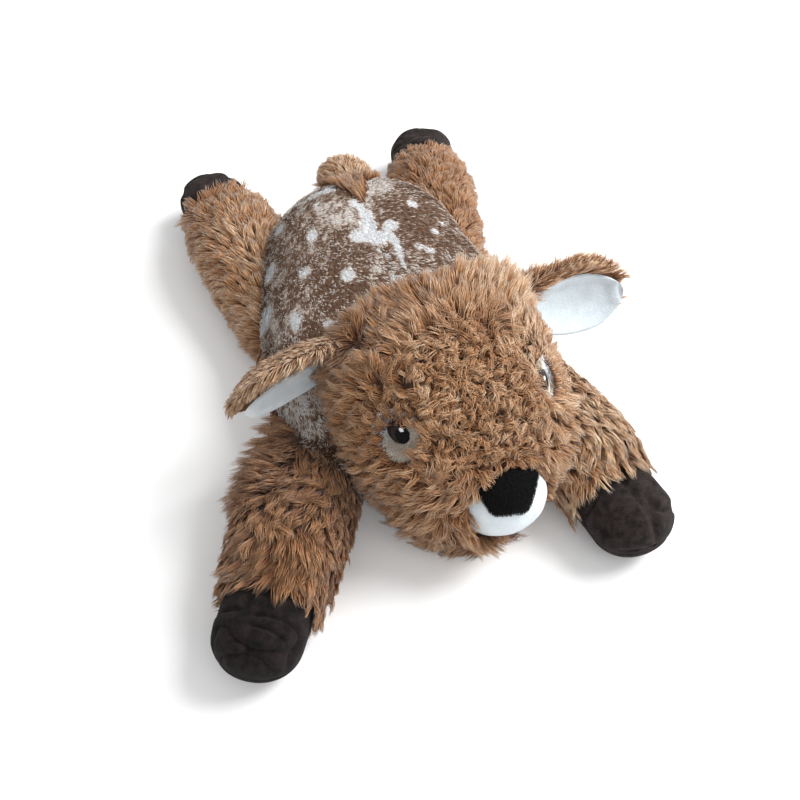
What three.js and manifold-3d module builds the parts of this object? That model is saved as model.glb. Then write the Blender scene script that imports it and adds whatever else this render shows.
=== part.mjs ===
// A stuffed toy fawn lying flat on its belly, legs stretched out, chin on the ground.
// Millimetres. The fawn faces -Y, its tail is at +Y, its own left is +X, and it rests on z = 0.
// The origin is the middle of the belly's flat resting face.
import * as THREE from 'three';
import { mergeVertices } from 'three/addons/utils/BufferGeometryUtils.js';
import Module from 'manifold-3d';

const wasm = await Module();
wasm.setup();

// Sewing and running clearances
const gap = 0.3; // air between two pieces that are sewn or pressed together
const swing = 0.6; // air round a limb, the head, an ear or the tail where it moves
const flat = 0.5; // depth by which a stuffed form is flattened where it rests
const overrun = 6; // how far a cutting form runs past what it cuts
const weld = 1e-4; // points closer than this are one point

// Body: a flat cushion, broad at the shoulders, with a shallow valley along the spine
const body = {
  rear: 112, // y of the rump
  length: 226,
  halfWidth: 87, // at the shoulders
  seamHeight: 32, // the side seam that joins the back to the belly
  crown: 50, // rise of the back above the seam
  backWall: 3.5, // printed short-pile fabric with its batting
  bellyWall: 4.5, // fur fabric with its backing
  valley: 3,
  valleyWidth: 9,
  widthShares: [[0, 0.64], [0.2, 0.77], [0.37, 0.88], [0.55, 0.98], [0.8, 1], [0.93, 0.95], [1, 0.86]],
  // it lies fuller on its right, so its left half is narrower by these shares
  leftShares: [[0, 1], [0.2, 0.93], [0.4, 0.85], [0.6, 0.87], [0.8, 0.94], [1, 1]],
  riseShares: [[0, 0.78], [0.2, 0.92], [0.5, 1], [0.68, 0.93], [0.82, 0.72], [1, 0.6]],
  rumpRoundShare: 0.26,
  neckRoundShare: 0.12,
  topPower: 2.1,
  bottomPower: 2.7,
};

// Head: broad and blunt behind, cheeks tapering to a short muzzle, chin on the ground
const head = {
  aside: 4, // the middle of the head lies this far to the left of the spine
  overhang: 4, // and this far behind the front of the body
  turn: 6, // degrees the head is turned to its left
  backReach: 66,
  length: 132,
  halfWidth: 61,
  wall: 5, // fur fabric with its backing
  power: 2.15,
  backRoundShare: 0.17,
  frontRoundShare: 0.13,
  widthShares: [
    [0, 0.82], [0.2, 0.95], [0.4, 1], [0.55, 0.98], [0.7, 0.89], [0.82, 0.74], [0.92, 0.54], [1, 0.42],
  ],
  axisHeights: [[0, 66], [0.3, 62], [0.5, 57], [0.7, 50], [0.85, 42], [1, 36]],
  topHeights: [[0, 99], [0.15, 106], [0.35, 109], [0.5, 106], [0.65, 97], [0.8, 79], [0.9, 61], [1, 50]],
  baseHeights: [[0, 40], [0.15, 32], [0.35, 19], [0.5, 9], [0.62, 3], [0.75, -flat], [0.9, -flat], [1, 9]],
  neckReach: 44, // nod pivot, this far behind the middle of the head
  neckHeight: 62,
  neckRadius: 17, // opening in the back of the head, sewn round the neck
  nodUp: 25,
};

const muzzle = {
  setback: 12, // its middle lies this far behind the front of the head
  aside: 2.5, // and this far to the left of the head's middle
  height: 41,
  halfWidth: 25,
  halfDepth: 20,
  halfHeight: 21,
};
const nose = {
  halfTop: 20,
  halfBase: 6.5,
  height: 22,
  corner: 4,
  thickness: 2.6,
  pitch: 66, // degrees that it looks up
  roll: -14, // degrees that it is turned in its own plane
  aside: -2.5, // from the muzzle's middle
};

const eye = {
  inset: 23, // from the widest part of the head in to the bottom of the eye's hollow
  ahead: 17,
  height: 78,
  facing: [0.8, -0.38, 0.46],
  hollow: [13.5, 11.5, 9], // half sizes of the hollow that the eye sits in
  patchHeight: 3.2,
  iris: [6.4, 5.8, 2.4],
};

// Ears: a cupped leaf of fur fabric with a short-pile lining in its hollow side
const ear = {
  length: 70,
  halfWidth: 19,
  cup: 9,
  bend: 5,
  furWall: 6,
  liningWall: 2.4,
  liningStart: 11, // the lining is sewn in where the ear leaves the head
  liningMargin: 2.5, // fur left round the lining's edge
  widthShares: [[0, 0.52], [0.35, 0.92], [0.62, 1], [0.85, 0.84], [1, 0.7]],
  rootRoundShare: 0.12,
  tipRoundShare: 0.3,
  tipThinShare: 0.2,
};
const ears = {
  right: {
    side: -1, inset: 14, behind: 42, height: 84, droop: 8, sweep: -2, roll: 70, flopDown: 3, flopUp: 40,
  },
  left: {
    side: 1, inset: 7, behind: 36, height: 75, droop: 6, sweep: 3, roll: -122, flopDown: 8, flopUp: 40,
  },
};

// Legs: a flattened ball of a root seated in the body, a stuffed tube and a hoof at its end
const limb = {
  rootRadius: 26,
  rootHalfHeight: 20,
  rootHeight: 21.2,
  halfHeight: 24, // where the tube is fullest
  hoofBack: 25, // from the hoof's middle back to the seam with the fur
  hoofTip: 18, // from the hoof's middle to its tip
  hoofHalfWidth: 24.5,
  hoofHalfHeight: 20.5,
  cleft: 1.6,
  cleftWidth: 4,
  wall: 4.5,
  tipRound: 22,
  fullShares: [0.5, 0.8], // the stretch of the tube that is fullest
  tipShares: [1, 0.7, 0.42, 0.22, 0.08], // sections that round the hoof's tip, from its start
  power: 2.2,
  openPower: 12, // nearly square corners under the room that a leg moves in
};
// inset: from the body's widest part in to the root, fromEnd: from the nearer end of the body
const legs = {
  front_right: { inset: 17, fromEnd: 21, angle: -31, length: 119, halfWidth: 29, inward: 20, outward: 20 },
  front_left: { inset: 24, fromEnd: 37, angle: 9.5, length: 114, halfWidth: 29, inward: 0, outward: 40 },
  hind_right: { inset: 21, fromEnd: 97, angle: -171.5, length: 145, halfWidth: 29, inward: 4, outward: 40 },
  hind_left: { inset: 39, fromEnd: 92, angle: 168, length: 148, halfWidth: 28, inward: 4, outward: 40 },
};

const tail = {
  aside: 4,
  inset: 9, // the root lies this far in from the rump
  height: 48,
  length: 28,
  halfWidth: 17,
  halfThickness: 7,
  rise: 12, // degrees that it points up behind
  rootRadius: 7.5,
  widthShares: [[0, 0.6], [0.5, 1], [1, 0.9]],
  rootRoundShare: 0.3,
  tipRoundShare: 0.45,
  down: 15,
  up: 35,
};

// Facet counts
const bodyFacets = { rows: 20, sides: 28 };
const headFacets = { rows: 16, sides: 24 };
const liningFacets = { rows: 12, sides: 16 }; // inner faces and fillings of the body and the head
const roomFacets = { rows: 8, sides: 14 };
const earFacets = { rows: 10, sides: 12 };
const tailFacets = { rows: 8, sides: 16 };
const ballFacets = { sides: 16, rows: 10 };
const limbSides = 18;
const coarseSides = 12; // leg fillings, and the rooms that clear a moving piece's path
const sweepStep = 12; // degrees between the positions in such a room

const colours = {
  fur: 0xa67c52, print: 0x5e4838, white: 0xdce6ec, hoof: 0x382b29, nose: 0x151416,
  patch: 0xb3a697, iris: 0x1f1a1a, filling: 0xf2f0ea,
};

const degrees = THREE.MathUtils.degToRad;

function fabric(colour, roughness) {
  return new THREE.MeshStandardMaterial({ color: colour, roughness, metalness: 0 });
}
const furFabric = () => fabric(colours.fur, 0.95);
const fibre = () => fabric(colours.filling, 1);

// Solids and meshes

function solidOf(geometry, matrix = new THREE.Matrix4()) {
  const shape = geometry.clone().applyMatrix4(matrix);
  shape.deleteAttribute('normal');
  shape.deleteAttribute('uv');
  const welded = mergeVertices(shape, weld);
  return new wasm.Manifold(new wasm.Mesh({
    numProp: 3,
    vertProperties: new Float32Array(welded.attributes.position.array),
    triVerts: new Uint32Array(welded.index.array),
  }));
}

function meshOf(name, solid, material) {
  const { vertProperties, triVerts } = solid.getMesh();
  const geometry = new THREE.BufferGeometry();
  geometry.setAttribute('position', new THREE.BufferAttribute(new Float32Array(vertProperties), 3));
  geometry.setIndex(new THREE.BufferAttribute(new Uint32Array(triVerts), 1));
  geometry.computeVertexNormals();
  const mesh = new THREE.Mesh(geometry, material);
  mesh.name = name;
  return mesh;
}

// A box between two corners
function boxOf(low, high, matrix) {
  const size = high.map((value, axis) => value - low[axis]);
  const middle = high.map((value, axis) => (value + low[axis]) / 2);
  return solidOf(new THREE.BoxGeometry(...size).translate(...middle), matrix);
}

function ellipsoid(radii, matrix) {
  return solidOf(new THREE.SphereGeometry(1, ballFacets.sides, ballFacets.rows).scale(...radii), matrix);
}

// Smooth curve through hand-chosen pairs of place and value
function through(pairs, place) {
  const last = pairs.length - 1;
  let k = 0;
  while (k < last - 1 && place > pairs[k + 1][0]) k += 1;
  const slope = (i) => {
    const before = pairs[Math.max(i - 1, 0)];
    const after = pairs[Math.min(i + 1, last)];
    return (after[1] - before[1]) / (after[0] - before[0]);
  };
  const [x0, y0] = pairs[k];
  const [x1, y1] = pairs[k + 1];
  const span = x1 - x0;
  const t = THREE.MathUtils.clamp((place - x0) / span, 0, 1);
  return y0 * (1 + 2 * t) * (1 - t) ** 2 + y1 * t * t * (3 - 2 * t)
    + span * t * (1 - t) * (slope(k) * (1 - t) - slope(k + 1) * t);
}

// Circular rounding of an end: 0 at the end, 1 from `reach` on
function rounded(place, reach) {
  const near = Math.min(Math.max(place / reach, 0), 1);
  return Math.sqrt(1 - (1 - near) ** 2);
}

// A stuffed form along local +X. Each section is a superellipse: half width w, times left on its
// +Y side, rise above and fall below its axis height z. A cleft is a furrow along the top. Both
// ends close on a pole.
function stuffed(sections, sides) {
  const points = [];
  const faces = [];
  const rings = sections.slice(1, -1);
  const pole = (section) => points.push(section.x, section.y ?? 0, section.z) / 3 - 1;
  const start = pole(sections[0]);
  for (const section of rings) {
    const { x, y = 0, z, w, left = 1, rise, fall, power } = section;
    const { basePower = power, cleft = 0, cleftWidth = 1 } = section;
    for (let k = 0; k < sides; k += 1) {
      const angle = (2 * Math.PI * k) / sides;
      const [c, s] = [Math.cos(angle), Math.sin(angle)];
      const p = 2 / (s > 0 ? power : basePower);
      const across = (c > 0 ? left * w : w) * Math.sign(c) * Math.abs(c) ** p;
      const height = (s > 0 ? rise : fall) * Math.sign(s) * Math.abs(s) ** p;
      const furrow = s > 0 ? cleft * Math.exp(-((across / cleftWidth) ** 2)) : 0;
      points.push(x, y + across, z + height - furrow);
    }
  }
  const end = pole(sections[sections.length - 1]);
  const at = (ring, k) => 1 + ring * sides + (k % sides);
  for (let k = 0; k < sides; k += 1) {
    faces.push(start, at(0, k + 1), at(0, k));
    faces.push(end, at(rings.length - 1, k), at(rings.length - 1, k + 1));
    for (let ring = 0; ring < rings.length - 1; ring += 1) {
      faces.push(at(ring, k), at(ring, k + 1), at(ring + 1, k + 1));
      faces.push(at(ring, k), at(ring + 1, k + 1), at(ring + 1, k));
    }
  }
  const geometry = new THREE.BufferGeometry();
  geometry.setAttribute('position', new THREE.Float32BufferAttribute(points, 3));
  geometry.setIndex(faces);
  return geometry;
}

// Shares 0 to 1, closer together towards both ends
function endSpaced(count) {
  return Array.from({ length: count + 1 }, (_, k) => (1 - Math.cos((Math.PI * k) / count)) / 2);
}

// Placing: local +X becomes a heading in the ground plane, in degrees from -Y towards +X
function heading(x, y, angle) {
  return new THREE.Matrix4().makeTranslation(x, y, 0)
    .multiply(new THREE.Matrix4().makeRotationZ(degrees(angle - 90)));
}

function turnedAbout(point, axis, angle) {
  const away = new THREE.Matrix4().makeTranslation(point.clone().negate());
  const spin = new THREE.Matrix4().makeRotationAxis(axis, degrees(angle));
  return new THREE.Matrix4().makeTranslation(point).multiply(spin).multiply(away);
}

// Angles from low to high, no more than sweepStep apart
function sweepAngles(low, high) {
  const count = Math.max(1, Math.ceil((high - low) / sweepStep));
  return Array.from({ length: count + 1 }, (_, k) => low + ((high - low) * k) / count);
}

// The room that a piece needs while it turns about an axis
function swept(solid, point, axis, low, high) {
  return sweepAngles(low, high)
    .map((angle) => solid.transform(turnedAbout(point, axis, angle).toArray()))
    .reduce((room, pose) => room.add(pose));
}

// A room has few facets, so it is made larger by what a flat facet loses against the curve
const facetLoss = 1 / Math.cos(Math.PI / coarseSides);

const span = body.length;
const up = new THREE.Vector3(0, 0, 1);
const ground = boxOf([-span, -span, -span], [span, span, 0]);
const grounded = (solid) => solid.subtract(ground);

// Body

function bodySection(share, grow) {
  const round = Math.min(rounded(share, body.rumpRoundShare), rounded(1 - share, body.neckRoundShare));
  return {
    x: share * (body.length + 2 * grow) - grow,
    z: body.seamHeight,
    w: (body.halfWidth + grow) * through(body.widthShares, share) * round,
    left: through(body.leftShares, share),
    rise: (body.crown + grow) * through(body.riseShares, share) * round,
    fall: (body.seamHeight + flat + grow) * round,
    power: body.topPower,
    basePower: body.bottomPower,
    cleft: body.valley * round,
    cleftWidth: body.valleyWidth,
  };
}

function bodyForm(grow, { rows, sides }) {
  const sections = endSpaced(rows).map((share) => bodySection(share, grow));
  return solidOf(stuffed(sections, sides), heading(0, body.rear, 0));
}

// Head

const bodyFront = body.rear - body.length;
const headFrame = heading(head.aside, bodyFront + head.overhang, head.turn);
const headPoint = (ahead, side, height) => new THREE.Vector3(ahead, side, height).applyMatrix4(headFrame);
const headSideways = new THREE.Vector3(0, 1, 0).transformDirection(headFrame);
const neck = headPoint(-head.neckReach, 0, head.neckHeight);

function headForm(grow, { rows, sides }) {
  const sections = endSpaced(rows).map((share) => {
    const round = Math.min(rounded(share, head.backRoundShare), rounded(1 - share, head.frontRoundShare));
    const z = through(head.axisHeights, share);
    return {
      x: share * (head.length + 2 * grow) - head.backReach - grow,
      z,
      w: (head.halfWidth * through(head.widthShares, share) + grow) * round,
      rise: (through(head.topHeights, share) - z + grow) * round,
      fall: (z - through(head.baseHeights, share) + grow) * round,
      power: head.power,
    };
  });
  return solidOf(stuffed(sections, sides), headFrame);
}

// The room that the head needs, with some extra round it, from chin down to chin up
function headRoom(extra) {
  const room = headForm(swing + extra + head.halfWidth * (facetLoss - 1), roomFacets);
  return swept(room, neck, headSideways, -head.nodUp, 0);
}

const muzzleReach = head.length - head.backReach - muzzle.setback;
const muzzleFrame = headFrame.clone()
  .multiply(new THREE.Matrix4().makeTranslation(muzzleReach, muzzle.aside, muzzle.height));

function muzzleForm(grow) {
  const radii = [muzzle.halfDepth, muzzle.halfWidth, muzzle.halfHeight];
  return ellipsoid(radii.map((radius) => radius + grow), muzzleFrame);
}

// Eye frames: local +Z looks out of the eye, the origin is the bottom of its hollow
function eyeFrame(side) {
  const [across, along, height] = eye.facing;
  const out = new THREE.Vector3(-along, side * across, height).normalize();
  const level = new THREE.Vector3().crossVectors(up, out).normalize();
  const top = new THREE.Vector3().crossVectors(out, level);
  const aside = side * (head.halfWidth - eye.inset);
  return headFrame.clone()
    .multiply(new THREE.Matrix4().makeTranslation(eye.ahead, aside, eye.height))
    .multiply(new THREE.Matrix4().makeBasis(level, top, out));
}

const eyeHollow = (side, shrink) => ellipsoid(eye.hollow.map((half) => half - shrink),
  eyeFrame(side).multiply(new THREE.Matrix4().makeTranslation(0, 0, eye.hollow[2])));

function eyePatch(side) {
  const [half] = eye.hollow;
  const cap = boxOf([-half, -half, -overrun], [half, half, eye.patchHeight], eyeFrame(side));
  return eyeHollow(side, gap).intersect(cap);
}

function eyeIris(side) {
  const base = eye.patchHeight + gap;
  const [half] = eye.iris;
  const seat = boxOf([-half, -half, base], [half, half, base + overrun], eyeFrame(side));
  const lifted = new THREE.Matrix4().makeTranslation(0, 0, base);
  const dome = ellipsoid(eye.iris, eyeFrame(side).multiply(lifted));
  return dome.intersect(seat);
}

// Nose: a rounded trapezium that follows the muzzle, wide end up, sewn on a little askew
function noseForm() {
  const { halfTop, halfBase, height, corner, pitch } = nose;
  const outline = new THREE.Shape();
  outline.moveTo(halfBase, -height / 2);
  outline.quadraticCurveTo(halfBase + corner / 2, -height / 2, halfBase + corner, corner - height / 2);
  outline.lineTo(halfTop, height / 2 - corner);
  outline.quadraticCurveTo(halfTop, height / 2, halfTop - corner, height / 2);
  outline.lineTo(corner - halfTop, height / 2);
  outline.quadraticCurveTo(-halfTop, height / 2, -halfTop, height / 2 - corner);
  outline.lineTo(-halfBase - corner, corner - height / 2);
  outline.quadraticCurveTo(-halfBase - corner / 2, -height / 2, -halfBase, -height / 2);
  outline.closePath();
  const depth = muzzle.halfDepth + muzzle.halfHeight;
  const prism = new THREE.ExtrudeGeometry(outline, { depth, bevelEnabled: false, curveSegments: 4 });
  const lean = degrees(pitch);
  const out = new THREE.Vector3(Math.cos(lean), 0, Math.sin(lean));
  const rise = new THREE.Vector3(-Math.sin(lean), 0, Math.cos(lean));
  const across = new THREE.Vector3().crossVectors(rise, out);
  const place = muzzleFrame.clone()
    .multiply(new THREE.Matrix4().makeBasis(across, rise, out))
    .multiply(new THREE.Matrix4().makeTranslation(nose.aside, 0, 0))
    .multiply(new THREE.Matrix4().makeRotationZ(degrees(nose.roll)));
  return solidOf(prism, place)
    .intersect(muzzleForm(nose.thickness))
    .subtract(muzzleForm(gap))
    .subtract(headForm(gap, headFacets));
}

// Ears

// Local +X runs from root to tip, +Y across, and the hollow side looks along -Z
function leaf(thickness, offset, start, margin, { rows, sides }) {
  const fullness = (share, tip) => Math.min(rounded(share, ear.rootRoundShare), rounded(1 - share, tip));
  const halfWidth = (share) => (
    (ear.halfWidth * through(ear.widthShares, share) - margin) * fullness(share, ear.tipRoundShare));
  const points = [];
  const faces = [];
  const shares = endSpaced(rows);
  const midHeight = (share, t) => (
    ear.cup * (1 - t * t) * Math.sqrt(Math.sin(Math.PI * share)) - ear.bend * share * share);
  const point = (share, t, side) => {
    const half = (thickness / 2) * Math.sqrt(1 - t * t) * fullness(share, ear.tipThinShare);
    const x = start + share * (ear.length - start - margin);
    points.push(x, t * halfWidth(share), midHeight(share, t) + offset + side * half);
  };
  const rootPole = 0;
  point(0, 0, 0);
  for (const share of shares.slice(1, -1)) {
    for (let k = 0; k < sides; k += 1) {
      const angle = (2 * Math.PI * k) / sides;
      point(share, Math.cos(angle), Math.sign(Math.sin(angle)) * (k % (sides / 2) === 0 ? 0 : 1));
    }
  }
  const tipPole = points.length / 3;
  point(1, 0, 0);
  const rings = shares.length - 2;
  const at = (ring, k) => 1 + ring * sides + (k % sides);
  for (let k = 0; k < sides; k += 1) {
    faces.push(rootPole, at(0, k + 1), at(0, k));
    faces.push(tipPole, at(rings - 1, k), at(rings - 1, k + 1));
    for (let ring = 0; ring < rings - 1; ring += 1) {
      faces.push(at(ring, k), at(ring, k + 1), at(ring + 1, k + 1));
      faces.push(at(ring, k), at(ring + 1, k + 1), at(ring + 1, k));
    }
  }
  const geometry = new THREE.BufferGeometry();
  geometry.setAttribute('position', new THREE.Float32BufferAttribute(points, 3));
  geometry.setIndex(faces);
  return geometry;
}

function earFrame({ side, inset, behind, height, droop, sweep, roll }) {
  const place = new THREE.Matrix4().makeTranslation(-behind, side * (head.halfWidth - inset), height);
  const outwards = new THREE.Matrix4().makeRotationZ(degrees(side * (90 + sweep)));
  const lower = new THREE.Matrix4().makeRotationY(degrees(droop));
  const rolled = new THREE.Matrix4().makeRotationX(degrees(roll));
  return headFrame.clone().multiply(place).multiply(outwards).multiply(lower).multiply(rolled);
}

function earPieces(which) {
  const frame = earFrame(which);
  const back = (grow) => solidOf(leaf(ear.furWall + 2 * grow, 0, -grow, -grow, earFacets), frame);
  const depth = -(ear.furWall + ear.liningWall) / 2 - gap;
  const lining = solidOf(leaf(ear.liningWall, depth, ear.liningStart, ear.liningMargin, earFacets), frame)
    .subtract(back(gap));
  const root = new THREE.Vector3().setFromMatrixPosition(frame);
  const outwards = new THREE.Vector3(1, 0, 0).transformDirection(frame);
  const axis = new THREE.Vector3().crossVectors(outwards, up).normalize();
  const thickness = (ear.furWall + ear.liningWall + gap + 2 * swing) * facetLoss;
  const room = solidOf(leaf(thickness, -ear.liningWall / 2, -2 * swing, -2 * swing, earFacets), frame);
  const path = swept(room, root, axis, -which.flopDown, which.flopUp);
  return { back: back(0), lining, path };
}

// Legs

const legFacets = {
  full: { turns: [20, 40, 60, 78], shares: [0, 0.12, 0.25, 0.4, 0.55, 0.7, 0.85, 0.97], sides: limbSides },
  coarse: { turns: [30, 60], shares: [0, 0.3, 0.6, 0.97], sides: coarseSides },
};

// Half width, half height and axis height at a distance along the leg
function legSize(leg, x) {
  const { rootRadius, rootHalfHeight, rootHeight, hoofHalfWidth, hoofHalfHeight } = limb;
  const ankle = leg.length - limb.hoofBack;
  const tip = leg.length + limb.hoofTip;
  const [from, to] = limb.fullShares.map((share) => share * ankle);
  const along = (root, full, hoof) => (
    through([[0, root], [from, full], [to, full], [ankle, hoof], [tip, hoof]], x));
  const halfWidth = along(rootRadius, leg.halfWidth, hoofHalfWidth);
  const halfHeight = along(rootHalfHeight, limb.halfHeight, hoofHalfHeight);
  const settled = THREE.MathUtils.smoothstep(x, 0, from);
  return { halfWidth, halfHeight, axis: THREE.MathUtils.lerp(rootHeight, halfHeight - flat, settled) };
}

function legSection(leg, x, grow, round = 1) {
  const { halfWidth, halfHeight, axis } = legSize(leg, Math.max(x, 0));
  return {
    x,
    z: axis,
    w: (halfWidth + grow) * round,
    rise: (halfHeight + grow) * round,
    fall: (halfHeight + grow) * round,
    power: x > 0 ? limb.power : 2,
    cleft: x > leg.length - limb.hoofBack ? limb.cleft : 0,
    cleftWidth: limb.cleftWidth,
  };
}

function legRoot(leg, grow, turns) {
  const radius = limb.rootRadius + grow;
  const ring = (turn) => legSection(leg, -radius * Math.cos(degrees(turn)), grow, Math.sin(degrees(turn)));
  return [{ x: -radius, z: limb.rootHeight }, ...turns.map(ring)];
}

function legForm(leg, grow, { turns, shares, sides }) {
  const ankle = leg.length - limb.hoofBack;
  const front = leg.length + limb.hoofTip + grow;
  const sections = [
    ...legRoot(leg, grow, turns),
    ...shares.map((share) => legSection(leg, share * ankle, grow)),
    legSection(leg, ankle + gap, grow),
    ...limb.tipShares.map((share) => (
      legSection(leg, front - share * limb.tipRound, grow, rounded(share, 1)))),
    { x: front, z: limb.hoofHalfHeight - flat },
  ];
  return solidOf(stuffed(sections, sides), leg.place);
}

// The room round a leg as far as its ankle, open downwards past the ground: a ball at the
// root that stays the same as the leg turns, and a trunk that is swept with it
function legRoom(leg, root, low, high) {
  const ankle = leg.length - limb.hoofBack;
  const radius = (limb.rootRadius + swing) * facetLoss;
  const section = (x, w, rise) => ({
    x,
    z: limb.rootHeight,
    w,
    rise,
    fall: limb.rootHeight + overrun,
    power: limb.power,
    basePower: limb.openPower,
  });
  const sizes = legFacets.full.shares.map((share) => legSize(leg, share * ankle));
  const widest = Math.max(...sizes.map(({ halfWidth }) => halfWidth));
  const highest = Math.max(...sizes.map(({ halfHeight, axis }) => axis + halfHeight)) - limb.rootHeight;
  const ball = endSpaced(coarseSides / 2).map((share) => {
    const along = 2 * share - 1;
    const round = Math.sqrt(1 - along * along);
    return section(along * radius, radius * round, (limb.rootHalfHeight + swing) * facetLoss * round);
  });
  const trunk = [0, 0, 1, 1].map((share) => (
    section(share * ankle, (widest + swing) * facetLoss, (highest + swing) * facetLoss)));
  trunk[0].x -= gap;
  trunk[3].x += gap;
  const path = swept(solidOf(stuffed(trunk, coarseSides), leg.place), root, up, low, high);
  return path.add(solidOf(stuffed(ball, coarseSides), leg.place));
}

// The head leans on the inner side of a front leg, which gives way to it
function legPieces(name, sizes) {
  const side = name.endsWith('left') ? 1 : -1;
  const isFront = name.startsWith('front');
  const rootY = isFront ? bodyFront + sizes.fromEnd : body.rear - sizes.fromEnd;
  const root = new THREE.Vector3(side * (body.halfWidth - sizes.inset), rootY, limb.rootHeight);
  const leg = { ...sizes, place: heading(root.x, root.y, sizes.angle) };
  const ankle = leg.length - limb.hoofBack;
  const reach = leg.length + limb.hoofTip + overrun;
  const beyond = (from) => boxOf([from, -reach, -reach], [reach, reach, reach], leg.place);
  // A positive turn about +Z takes the left front leg outwards, and each mirror flips it
  const outwards = isFront ? side : -side;
  const [low, high] = outwards > 0 ? [-leg.inward, leg.outward] : [-leg.outward, leg.inward];
  const shaped = (inset, facets) => {
    const form = legForm(leg, -inset, facets);
    return isFront ? form.subtract(swept(headRoom(inset), root, up, -high, -low)) : form;
  };
  const lined = grounded(shaped(0, legFacets.full)).subtract(shaped(limb.wall - gap, legFacets.coarse));
  return {
    sleeve: lined.subtract(beyond(ankle - gap / 2)),
    hoof: lined.intersect(beyond(ankle + gap / 2)),
    filling: shaped(limb.wall, legFacets.coarse),
    room: legRoom(leg, root, low, high),
  };
}

// Tail

const tailRoot = new THREE.Vector3(tail.aside, body.rear - tail.inset, tail.height);

function tailForm(grow) {
  const sections = endSpaced(tailFacets.rows).map((share) => {
    const round = Math.min(rounded(share, tail.rootRoundShare), rounded(1 - share, tail.tipRoundShare));
    return {
      x: share * (tail.length + tail.rootRadius + 2 * grow) - tail.rootRadius - grow,
      z: 0,
      w: (tail.halfWidth + grow) * through(tail.widthShares, share) * round,
      rise: (tail.halfThickness + grow) * round,
      fall: (tail.halfThickness + grow) * round,
      power: 2,
    };
  });
  const lifted = new THREE.Matrix4().makeTranslation(tailRoot)
    .multiply(new THREE.Matrix4().makeRotationZ(degrees(90)))
    .multiply(new THREE.Matrix4().makeRotationY(degrees(-tail.rise)));
  return solidOf(stuffed(sections, tailFacets.sides), lifted);
}

// Assembly

const fawn = new THREE.Group();
const add = (name, solid, material) => fawn.add(meshOf(name, solid, material));

const eachOf = (table, make) => (
  Object.fromEntries(Object.entries(table).map(([name, sizes]) => [name, make(name, sizes)])));
const legParts = eachOf(legs, legPieces);
const earParts = eachOf(ears, (_, which) => earPieces(which));

// Rooms that the body leaves free for the legs, the head and the tail
const sideways = new THREE.Vector3(1, 0, 0);
const allLegRoom = Object.values(legParts).map(({ room }) => room).reduce((all, room) => all.add(room));
const tailRoom = swept(tailForm(swing), tailRoot, sideways, -tail.down, tail.up);
const bodyRoom = allLegRoom.add(headRoom(0)).add(tailRoom);

const above = (height) => boxOf([-span, -span, height], [span, span, span]);
const outerBody = grounded(bodyForm(0, bodyFacets));
const lined = (wall) => outerBody.subtract(bodyForm(-wall, liningFacets)).subtract(bodyRoom);
const seam = body.seamHeight;
add('back_panel', lined(body.backWall).intersect(above(seam + gap / 2)), fabric(colours.print, 0.9));
add('belly_panel', lined(body.bellyWall).subtract(above(seam - gap / 2)), furFabric());
const thickest = Math.max(body.backWall, body.bellyWall);
add('body_filling', bodyForm(-thickest - gap, liningFacets).subtract(bodyRoom), fibre());

const { neckRadius, neckReach, neckHeight, backReach } = head;
const neckTube = new THREE.CylinderGeometry(neckRadius, neckRadius, backReach, ballFacets.sides)
  .rotateZ(degrees(90))
  .translate(-neckReach - backReach / 2, 0, neckHeight);
const headCuts = earParts.right.path.add(earParts.left.path)
  .add(muzzleForm(gap))
  .add(eyeHollow(1, 0))
  .add(eyeHollow(-1, 0));
const headShell = grounded(headForm(0, headFacets)).subtract(headForm(-head.wall, liningFacets));
add('head_cover', headShell.subtract(headCuts).subtract(solidOf(neckTube, headFrame)), furFabric());
add('head_filling', headForm(-head.wall - gap, liningFacets).subtract(headCuts), fibre());
add('muzzle', muzzleForm(0), fabric(colours.white, 0.9));
add('nose', noseForm(), fabric(colours.nose, 0.6));
for (const [word, side] of [['right', -1], ['left', 1]]) {
  add(`eye_patch_${word}`, eyePatch(side), fabric(colours.patch, 0.9));
  add(`eye_${word}`, eyeIris(side), fabric(colours.iris, 0.5));
  add(`ear_back_${word}`, earParts[word].back, furFabric());
  add(`ear_lining_${word}`, earParts[word].lining, fabric(colours.white, 0.9));
}
for (const [name, { sleeve, hoof, filling }] of Object.entries(legParts)) {
  add(`leg_cover_${name}`, sleeve, furFabric());
  add(`hoof_${name}`, hoof, fabric(colours.hoof, 0.85));
  add(`leg_filling_${name}`, filling, fibre());
}
add('tail', tailForm(0), furFabric());

export default fawn;
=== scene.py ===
import math

import bmesh
import bpy
import numpy as np
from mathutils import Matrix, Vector


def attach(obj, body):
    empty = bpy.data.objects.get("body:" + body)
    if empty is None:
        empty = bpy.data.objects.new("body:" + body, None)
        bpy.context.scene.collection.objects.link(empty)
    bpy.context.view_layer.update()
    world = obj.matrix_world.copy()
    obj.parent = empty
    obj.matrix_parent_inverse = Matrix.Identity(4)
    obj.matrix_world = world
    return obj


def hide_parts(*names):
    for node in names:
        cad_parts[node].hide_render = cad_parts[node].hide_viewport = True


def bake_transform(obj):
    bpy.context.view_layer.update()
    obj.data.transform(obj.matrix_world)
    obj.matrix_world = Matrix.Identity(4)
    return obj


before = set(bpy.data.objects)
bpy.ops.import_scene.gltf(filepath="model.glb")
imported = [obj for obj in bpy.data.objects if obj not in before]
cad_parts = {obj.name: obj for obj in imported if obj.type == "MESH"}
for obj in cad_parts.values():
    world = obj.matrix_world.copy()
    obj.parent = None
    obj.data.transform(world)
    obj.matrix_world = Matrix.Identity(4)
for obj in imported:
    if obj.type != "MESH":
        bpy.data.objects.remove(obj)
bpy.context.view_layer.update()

MM = 0.001
UP = np.array([0.0, 0.0, 1.0])

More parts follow.
